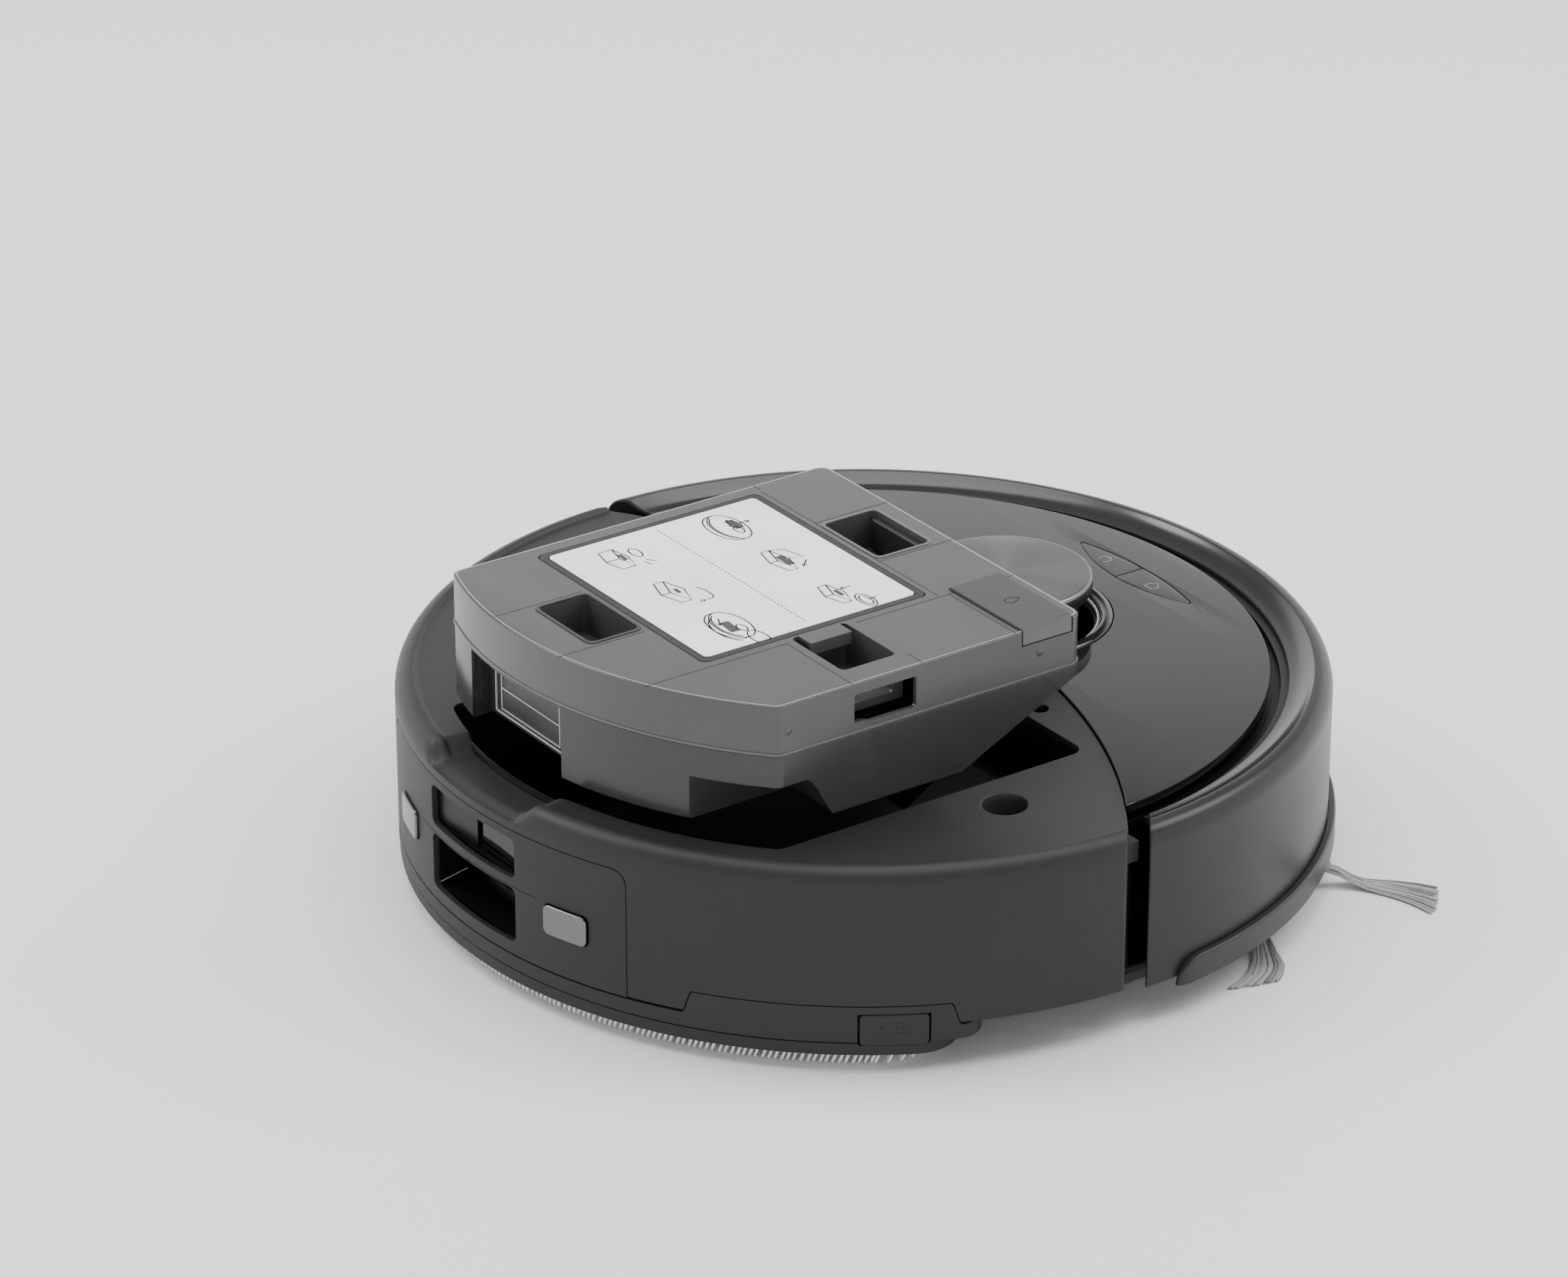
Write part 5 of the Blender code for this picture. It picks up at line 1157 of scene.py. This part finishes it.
def build_bin_fittings():
    clip = prism("latch_clip", rounded([(-0.0722, 0.0794), (-0.0645, 0.0794), (-0.0645, 0.0782),
            (-0.0708, 0.0780), (-0.0710, 0.0748), (-0.0716, 0.0742), (-0.0722, 0.0746)], 0.00025, 3),
            0.0560, 0.0740, "Y")
    show(lifted(clip), "lid_latch", SMOKE, ["lid_latch"])

    plug = box("plug_lid", PLUG_X, PLUG_Y, (0.0782, 0.07996), bevel=0.0005, segments=3)
    show(lifted(plug), "water_plug", SLATE, ["water_plug"])
    stem = turned("plug_stem", [(0.0, 0.0786), (0.0055, 0.0786), (0.0055, 0.0765), (0.0059, 0.0760),
            (0.0055, 0.0755), (0.0055, 0.0745), (0.0, 0.0745)], (-0.082, -0.006, 0.0), steps=40)
    show(lifted(stem), "water_plug", SEAL)
    lip_y = (PLUG_Y[0] + 0.0004, PLUG_Y[1] - 0.0004)
    lip = prism("plug_lip", [(PLUG_X[0] - 0.0010, 0.0736), (PLUG_X[0] + 0.0004, 0.0736),
            (PLUG_X[0] + 0.0004, 0.0782), (PLUG_X[0] + 0.0004, 0.0798), (PLUG_X[0] - 0.0004, 0.0797),
            (PLUG_X[0] - 0.0009, 0.0790)], *lip_y, "Y")
    show(lifted(lip), "water_plug", CLEAR)
    x, y, size = -0.0850, -0.0052, 0.0021
    turns = [math.radians(angle) for angle in range(-125, 126, 10)]
    tip = (x, y - size * 2.1)
    shape = [tip] + [(x + size * math.sin(t), y + size * math.cos(t)) for t in turns] + [tip]
    show(lifted(ribbons("plug_icon", [shape], 0.00030, 0.07996, 0.00004)), "water_plug", INK)

    for name, ys in (("rear", (REAR_POCKET_Y[1] - 0.0030, REAR_POCKET_Y[1] - GAP)),
                     ("front", (FRONT_POCKET_Y[0] + GAP, FRONT_POCKET_Y[0] + 0.0030))):
        latch = box("pinch_latch_" + name, (POCKET_X[0] + 0.002, POCKET_X[1] - 0.002), ys, (0.0646, 0.0770),
                    bevel=0.0008, segments=3)
        show(lifted(latch), "release_latch_" + name, GRAPHITE, ["release_latch_" + name])


# ------------------------------------------------------------------ mop plate and cloth
def half_disc(radius, front_y, corner, steps=160):
    """The part of a disc behind a straight front edge, with rounded front corners."""
    centre_y = front_y + corner
    centre_x = math.sqrt((radius - corner) ** 2 - centre_y ** 2)
    meets = math.degrees(math.atan2(centre_x, -centre_y))
    left = arc(corner, 0, meets, 10, (centre_x, centre_y))
    return left[:-1] + arc(radius, meets, 360 - meets, steps) + [(-x, y) for x, y in reversed(left[:-1])]


MOP_KEY_LOW = 0.0108
MOP_KEY_START, MOP_KEY_MIDDLE = (math.radians(turn) * BODY_RADIUS for turn in (54.1, 58.4))   # from the back


def build_mop():
    bracket = prism("mop_body", half_disc(BODY_RADIUS, MOP_FRONT_Y, 0.010), 0.0118, 0.0175)
    rounded_edges(bracket, 0.0004, lambda at: True, 2)
    pad = prism("mop_pad", half_disc(0.1747, MOP_FRONT_Y + 0.001, 0.018), 0.0063, 0.0114)
    rounded_edges(pad, 0.0010, lambda at: at.z < 0.0064, 3)
    rounded_edges(pad, 0.0003, lambda at: at.z > 0.0113, 2)
    for side in (1, -1):
        pocket = [(side * (MOP_KEY_START + along), height) for along, height in
                  tile((0.00001, 0.0262), (MOP_KEY_LOW - GAP, 0.0300), 0.0012, 4)]
        for plate in (bracket, pad):
            cut(plate, wrapped(prism("button_pocket", pocket, 0.1690, 0.1800, "Y"), 0.003))
    show(bracket, "mop", CHARCOAL_PANEL, ["mop_bracket"], 38)
    show(pad, "mop", CHARCOAL_PANEL, ["mop_pad_plate"], 38)
    for side, name in SIDES:
        wing = wing_shape("mop_wing_" + name, side, 0.0172, 0.0262, 0.0, 0.1718, BODY_RADIUS)
        pocket = [(side * (MOP_KEY_START + along), height) for along, height in
                  rectangle((0.0, 0.0262), (0.0100, MOP_KEY_LOW + 0.0125))]
        cut(wing, wrapped(prism("wing_pocket", pocket, 0.1600, 0.1900, "Y"), 0.003))
        show(wing, "mop", CHARCOAL_PANEL, angle=38)
        build_mop_button(side, name)


def build_mop_button(side, name):
    middle = MOP_KEY_MIDDLE * side
    half, low, high = 0.0124, MOP_KEY_LOW, MOP_KEY_LOW + 0.0122
    outline = tile((middle - half, middle + half), (low, high), 0.0016, 5)
    key = prism("mop_key_" + name, outline, 0.1722, 0.1754, "Y", bevel=0.0005, segments=3)
    show(wrapped(key, 0.002), "mop_button_" + name, CHARCOAL, ["mop_button_" + name], 38)
    marks = []
    centre = (low + high) / 2 + 0.0006
    for column in range(3):
        for row in range(3):
            at = (middle + side * (0.0006 + column * 0.0022), centre + (row - 1) * 0.0019)
            marks.append(prism("mark", circle(0.00042, at, 10), 0.1750, 0.1756, "Y"))
    wedge = [(middle - side * 0.0054, centre), (middle - side * 0.0036, centre + 0.0018),
             (middle - side * 0.0036, centre - 0.0018)]
    marks.append(prism("mark", wedge, 0.1750, 0.1756, "Y"))
    marks = [wrapped(mark, 0.01) for mark in marks]
    show(merged("mop_key_marks_" + name, marks), "mop_button_" + name, CHARCOAL_PANEL)


def build_cloth():
    """The looped cloth under the plate: a soft-edged pad with a fringe of loops round the back."""
    radius, front = 0.1655, MOP_FRONT_Y + 0.004
    outline = half_disc(radius, front, 0.020, 110)
    count = len(outline)
    middle_y = 0.110
    layers = [(0.0061, -0.0016), (0.0061, -0.0006), (0.0052, 0.0004), (0.0034, 0.0008), (0.0016, 0.0004),
              (0.0005, -0.0010)]                          # height and how far the edge stands out there
    vertices, faces = [], []
    for height, outset in layers:
        for x, y in outline:
            away = Vector((x, y - 0.075)).normalized() * outset
            vertices.append((x + away.x, y + away.y, height))
    for level in range(len(layers) - 1):
        for i in range(count):
            j = (i + 1) % count
            faces.append((level * count + i, level * count + j, (level + 1) * count + j, (level + 1)
                    * count + i))
    faces.append(tuple(range(count)))
    below = len(layers) - 1
    rings = 22
    for ring_index in range(1, rings + 1):
        share = 1 - ring_index / rings
        for i in range(count):
            x, y, _ = vertices[below * count + i]
            x, y = x * share, middle_y + (y - middle_y) * share
            height = 0.0004 + 0.0004 * math.sin(x * 900) * math.sin(y * 900)
            vertices.append((x, y, max(0.0, height)))
        here, there = (below + ring_index - 1) * count, (below + ring_index) * count
        for i in range(count):
            j = (i + 1) % count
            last = ring_index == rings
            faces.append((here + i, here + j, there) if last else (here + i, here + j, there + j, there + i))
    cloth = shown("mop_cloth_pad", vertices, faces)
    show(cloth, "mop", CLOTH, ["mop_cloth"], 60)

    loops, walked, pitch = [], 0.0, 0.0023
    edge = [Vector(point) for point in half_disc(0.1688, front - 0.0020, 0.022, 600)]
    for here, there in zip(edge, edge[1:]):
        walked += (there - here).length
        if walked < pitch:
            continue
        walked -= pitch
        along = (there - here).normalized()
        away = Vector((along.y, -along.x))
        away = away if away.dot(here - Vector((0.0, 0.09))) > 0 else -away
        wobble = random.uniform(-0.0002, 0.0002)
        path = []
        for k in range(10):
            turn = 2 * math.pi * k / 10
            spot = here + away * (0.0011 * math.cos(turn) + wobble) + along * (0.0010 * math.sin(turn)
                    + wobble)
            path.append((spot.x, spot.y, 0.0034 + 0.0026 * math.sin(turn)))
        loops.append(path)
    fringe = tubes("mop_fringe", loops, 0.00052, sides=5, closed=True)
    show(fringe, "mop", LOOP, angle=180)


# ------------------------------------------------------------------ side brush
TUFT_LIMIT, TUFT_WEAR = -0.168, 0.58        # the tuft beyond the body's side is worn shorter


def build_side_brush():
    x, y = SIDE_BRUSH
    hub = turned("brush_hub", [(0.0, 0.0240), (0.0040, 0.0240), (0.0052, 0.0220), (0.0060, 0.0110),
                               (0.0100, 0.0100), (0.0110, 0.0092), (0.0110, 0.0064), (0.0100, 0.0054),
                               (0.0, 0.0052)], (x, y, 0.0), steps=48)
    show(hub, "side_brush", BLACK, ["side_brush_hub"])
    arms, clips, strands = [], [], []
    for i in range(5):
        heading = 36 + i * 72
        tip, root = Vector(polar(0.040, heading)), Vector(polar(0.006, heading))
        across_arm = Vector((-tip.y, tip.x)).normalized()
        outline = rounded([tuple(root + across_arm * 0.0042), tuple(root - across_arm * 0.0042),
                           tuple(tip - across_arm * 0.0026), tuple(tip + across_arm * 0.0026)], 0.0012, 4)
        arm = prism("arm", outline, 0.0058, 0.0098)
        arm.data.transform(Matrix.Translation((x, y, 0.0)))
        arms.append(soften(arm, 0.0006, 2))
        clip = cylinder("clip", 0.0020, 0.036, 0.0440, (0.0, 0.0), "Y", 20, bevel=0.0003)
        clip.data.transform(Matrix.Translation((x, y, 0.0078)) @ Matrix.Rotation(math.radians(heading
                + 180), 4, "Z"))
        clips.append(clip)
        for _ in range(84):
            across_fan = random.uniform(-1, 1)
            level = random.uniform(-0.0014, 0.0014)
            length = random.uniform(0.0825, 0.0850)
            path = []
            for k in range(9):
                share = k / 8
                radius = 0.0415 + (length - 0.0415) * share
                lean = -1.0 * share - 8.0 * share ** 2 + across_fan * (2.4 + 5.2 * share)
                drop = max(0.0, 1 - (radius - 0.0445) / 0.0160) ** 1.6 if radius > 0.0445 else 1.0
                height = 0.0008 + 0.0070 * drop + level * min(1.0, drop + 0.02)
                at_x, at_y = polar(radius, heading + lean, SIDE_BRUSH)
                if at_x < TUFT_LIMIT:
                    at_x = TUFT_LIMIT + (at_x - TUFT_LIMIT) * TUFT_WEAR
                path.append((at_x, at_y, max(0.0004, height)))
            strands.append(path)
    show(merged("brush_arms", arms), "side_brush", BLACK)
    show(merged("brush_clips", clips), "side_brush", ICON)
    fan = tubes("brush_strands", strands, 0.00027, sides=4, taper=0.8)
    show(fan, "side_brush", BRISTLE, ["side_brush_bristles"], 180)
    fan.data.materials.append(BRISTLE_DARK)
    per_strand = len(fan.data.polygons) // len(strands)
    for face in fan.data.polygons:
        face.material_index = 1 if face.index // per_strand % 3 == 0 else 0


# ------------------------------------------------------------------ underside
def build_wheels():
    for side, name in SIDES:
        centre = (side * WHEEL_X, WHEEL_Y, WHEEL_RADIUS)
        half, lugs, fine = WHEEL_WIDTH / 2, 30, 8

        def tread(angle, half=half):
            groove = 0.0014 if angle / 360 * lugs % 1 > 0.68 else 0.0
            top = WHEEL_RADIUS - groove
            return [(0.0263, half - 0.0002), (0.0318, half), (0.0330, half - 0.0010), (top, half - 0.0028),
                    (top, 0.0012), (WHEEL_RADIUS - 0.0016, 0.0008), (WHEEL_RADIUS - 0.0016, -0.0008),
                    (top, -0.0012), (top, 0.0028 - half), (0.0330, 0.0010 - half), (0.0318, -half),
                    (0.0263, 0.0002 - half)]

        tyre = sweep("tread_" + name, tread, spread(0, 360, lugs * fine)[:-1], full=True)
        tyre.data.transform(Matrix.Translation(centre) @ AXES["X"].to_4x4())
        show(tyre, "wheel_" + name, TYRE, ["tyre_" + name], 30)


def build_main_brush():
    core, fins, slices = 0.0085, 6, 56
    base = []
    for fin in range(fins):
        middle = fin * 360 / fins
        for radius, lean in ((core, -21), (core, -10), (0.0150, -5.6), (BRUSH_RADIUS, -2.4),
                (BRUSH_RADIUS, 2.4), (0.0150, 4.8), (core, 9), (core, 20)):
            base.append((radius, middle + lean))
    low, high = -BRUSH_HALF + 0.002, BRUSH_HALF - 0.002
    rings = []
    for along in spread(low, high, slices):
        twist = 46 * abs(along) / high
        points = [polar(radius, angle + twist, (BRUSH_Y, BRUSH_Z)) for radius, angle in base]
        rings.append([(along, y, z) for y, z in points])
    show(skinned("brush_roller", [rings]), "main_brush", SEAL, ["main_brush"], 40)
    shaft = cylinder("roller_shaft", 0.0035, -BRUSH_HALF, BRUSH_HALF, (BRUSH_Y, BRUSH_Z), "X", 24,
            bevel=0.0004)
    show(shaft, "main_brush", STEEL)


# ------------------------------------------------------------------ carried-over CAD nodes
CARRIED = {"chassis_base": BLACK, "bin_bay": BLACK, "lidar_mount": BLACK, "lidar_rotor": BLACK,
        "brush_housing": BLACK, "drive_unit_left": BLACK, "drive_unit_right": BLACK,
        "bottom_cover": CHARCOAL_PANEL, "brush_guard": GRAPHITE, "fan_housing": GRAPHITE,
        "fan_impeller": IVORY, "battery_pack": SLATE, "main_board": BOARD, "brush_motor": STEEL,
        "side_brush_motor": STEEL, "dust_chamber": SMOKE_LOW, "dust_filter": FIBRE, "dust_lid": SLATE,
        "wheel_hub_left": GRAPHITE, "wheel_hub_right": GRAPHITE, "caster_fork": GRAPHITE,
        "caster_wheel": TYRE, }


def carry(name, paint):
    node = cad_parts[name]
    node.data.materials.clear()
    node.data.materials.append(paint)
    node.data.shade_smooth()
    weld = node.modifiers.new("weld", "WELD")
    weld.merge_threshold = 1e-5
    bevel = node.modifiers.new("edges", "BEVEL")
    bevel.width = 0.0003
    bevel.segments = 2
    bevel.limit_method = "ANGLE"
    bevel.angle_limit = math.radians(32)
    bevel.harden_normals = True


# ------------------------------------------------------------------ studio
# levels of the surrounding sky at these elevations
SKY = ((-90, 0.95), (0, 1.0), (20, 0.98), (24, 0.80), (27.6, 0.26), (33, 0.16), (90, 0.22))
VIEW_AZIMUTH, VIEW_ELEVATION = 235.0, 25.643       # the photograph's viewing angle
AIM, DISTANCE, LENS = (0.0108, 0.0275, 0.0900), 2.2, 135.08


def aimed(name, data, target, azimuth, elevation, distance):
    """A lamp or camera that looks at the target from this direction; azimuth 0 is the robot's front."""
    a, e = math.radians(azimuth), math.radians(elevation)
    back = Vector((math.sin(a) * math.cos(e), -math.cos(a) * math.cos(e), math.sin(e)))
    thing = placed(name, data)
    thing.location = Vector(target) + back * distance
    thing.rotation_mode = "QUATERNION"
    thing.rotation_quaternion = (-back).to_track_quat("-Z", "Y")
    return thing


def area_light(name, azimuth, elevation, distance, size, power):
    data = bpy.data.lights.new(name, "AREA")
    data.shape = "RECTANGLE"
    data.size, data.size_y = size
    data.energy = power
    aimed(name, data, (0.0, 0.0, 0.05), azimuth, elevation, distance)


def build_studio():
    floor = shown("floor", [(-6, -6, 0), (6, -6, 0), (6, 6, 0), (-6, 6, 0)], [(0, 1, 2, 3)])
    paint = Paint("floor_white", (0.86, 0.86, 0.86), 0.55)
    paint.vary_colour(paint.noise(0.6, 2.0), 0.004)
    floor.data.materials.append(paint.material)

    world = bpy.data.worlds.new("studio")
    world.use_nodes = True
    tree = world.node_tree
    place = tree.nodes.new("ShaderNodeTexCoord")
    split = tree.nodes.new("ShaderNodeSeparateXYZ")
    rise = tree.nodes.new("ShaderNodeMapRange")
    rise.inputs["From Min"].default_value, rise.inputs["From Max"].default_value = -1.0, 1.0
    ramp = tree.nodes.new("ShaderNodeValToRGB")
    while len(ramp.color_ramp.elements) < len(SKY):
        ramp.color_ramp.elements.new(0.5)
    for element, (elevation, level) in zip(ramp.color_ramp.elements, SKY):
        element.position = (math.sin(math.radians(elevation)) + 1) / 2
        element.color = (level, level, level, 1)
    tree.links.new(place.outputs["Generated"], split.inputs["Vector"])
    tree.links.new(split.outputs["Z"], rise.inputs["Value"])
    tree.links.new(rise.outputs["Result"], ramp.inputs["Fac"])
    background = tree.nodes["Background"]
    tree.links.new(ramp.outputs["Color"], background.inputs["Color"])
    background.inputs["Strength"].default_value = 1.9
    bpy.context.scene.world = world

    area_light("overhead", 0, 86, 2.6, (2.4, 2.4), 70)
    area_light("key_right", 335, 44, 2.5, (1.1, 1.0), 30)
    area_light("key_left", 130, 46, 2.5, (1.3, 0.8), 34)

    lens = bpy.data.cameras.new("photo_view")
    lens.lens, lens.sensor_width = LENS, 36.0
    lens.clip_start, lens.clip_end = 0.05, 50.0
    bpy.context.scene.camera = aimed("photo_view", lens, AIM, VIEW_AZIMUTH, VIEW_ELEVATION, DISTANCE)


# ------------------------------------------------------------------ assembly
for build in (build_studio, build_shell, build_panel, build_front, build_bumper, build_turret, build_bin_top,
              build_bin_details, build_bin_lower, build_port, build_label, build_bin_fittings, build_mop,
              build_cloth, build_side_brush, build_wheels, build_main_brush):
    build()
for node_name, node_paint in CARRIED.items():
    carry(node_name, node_paint)
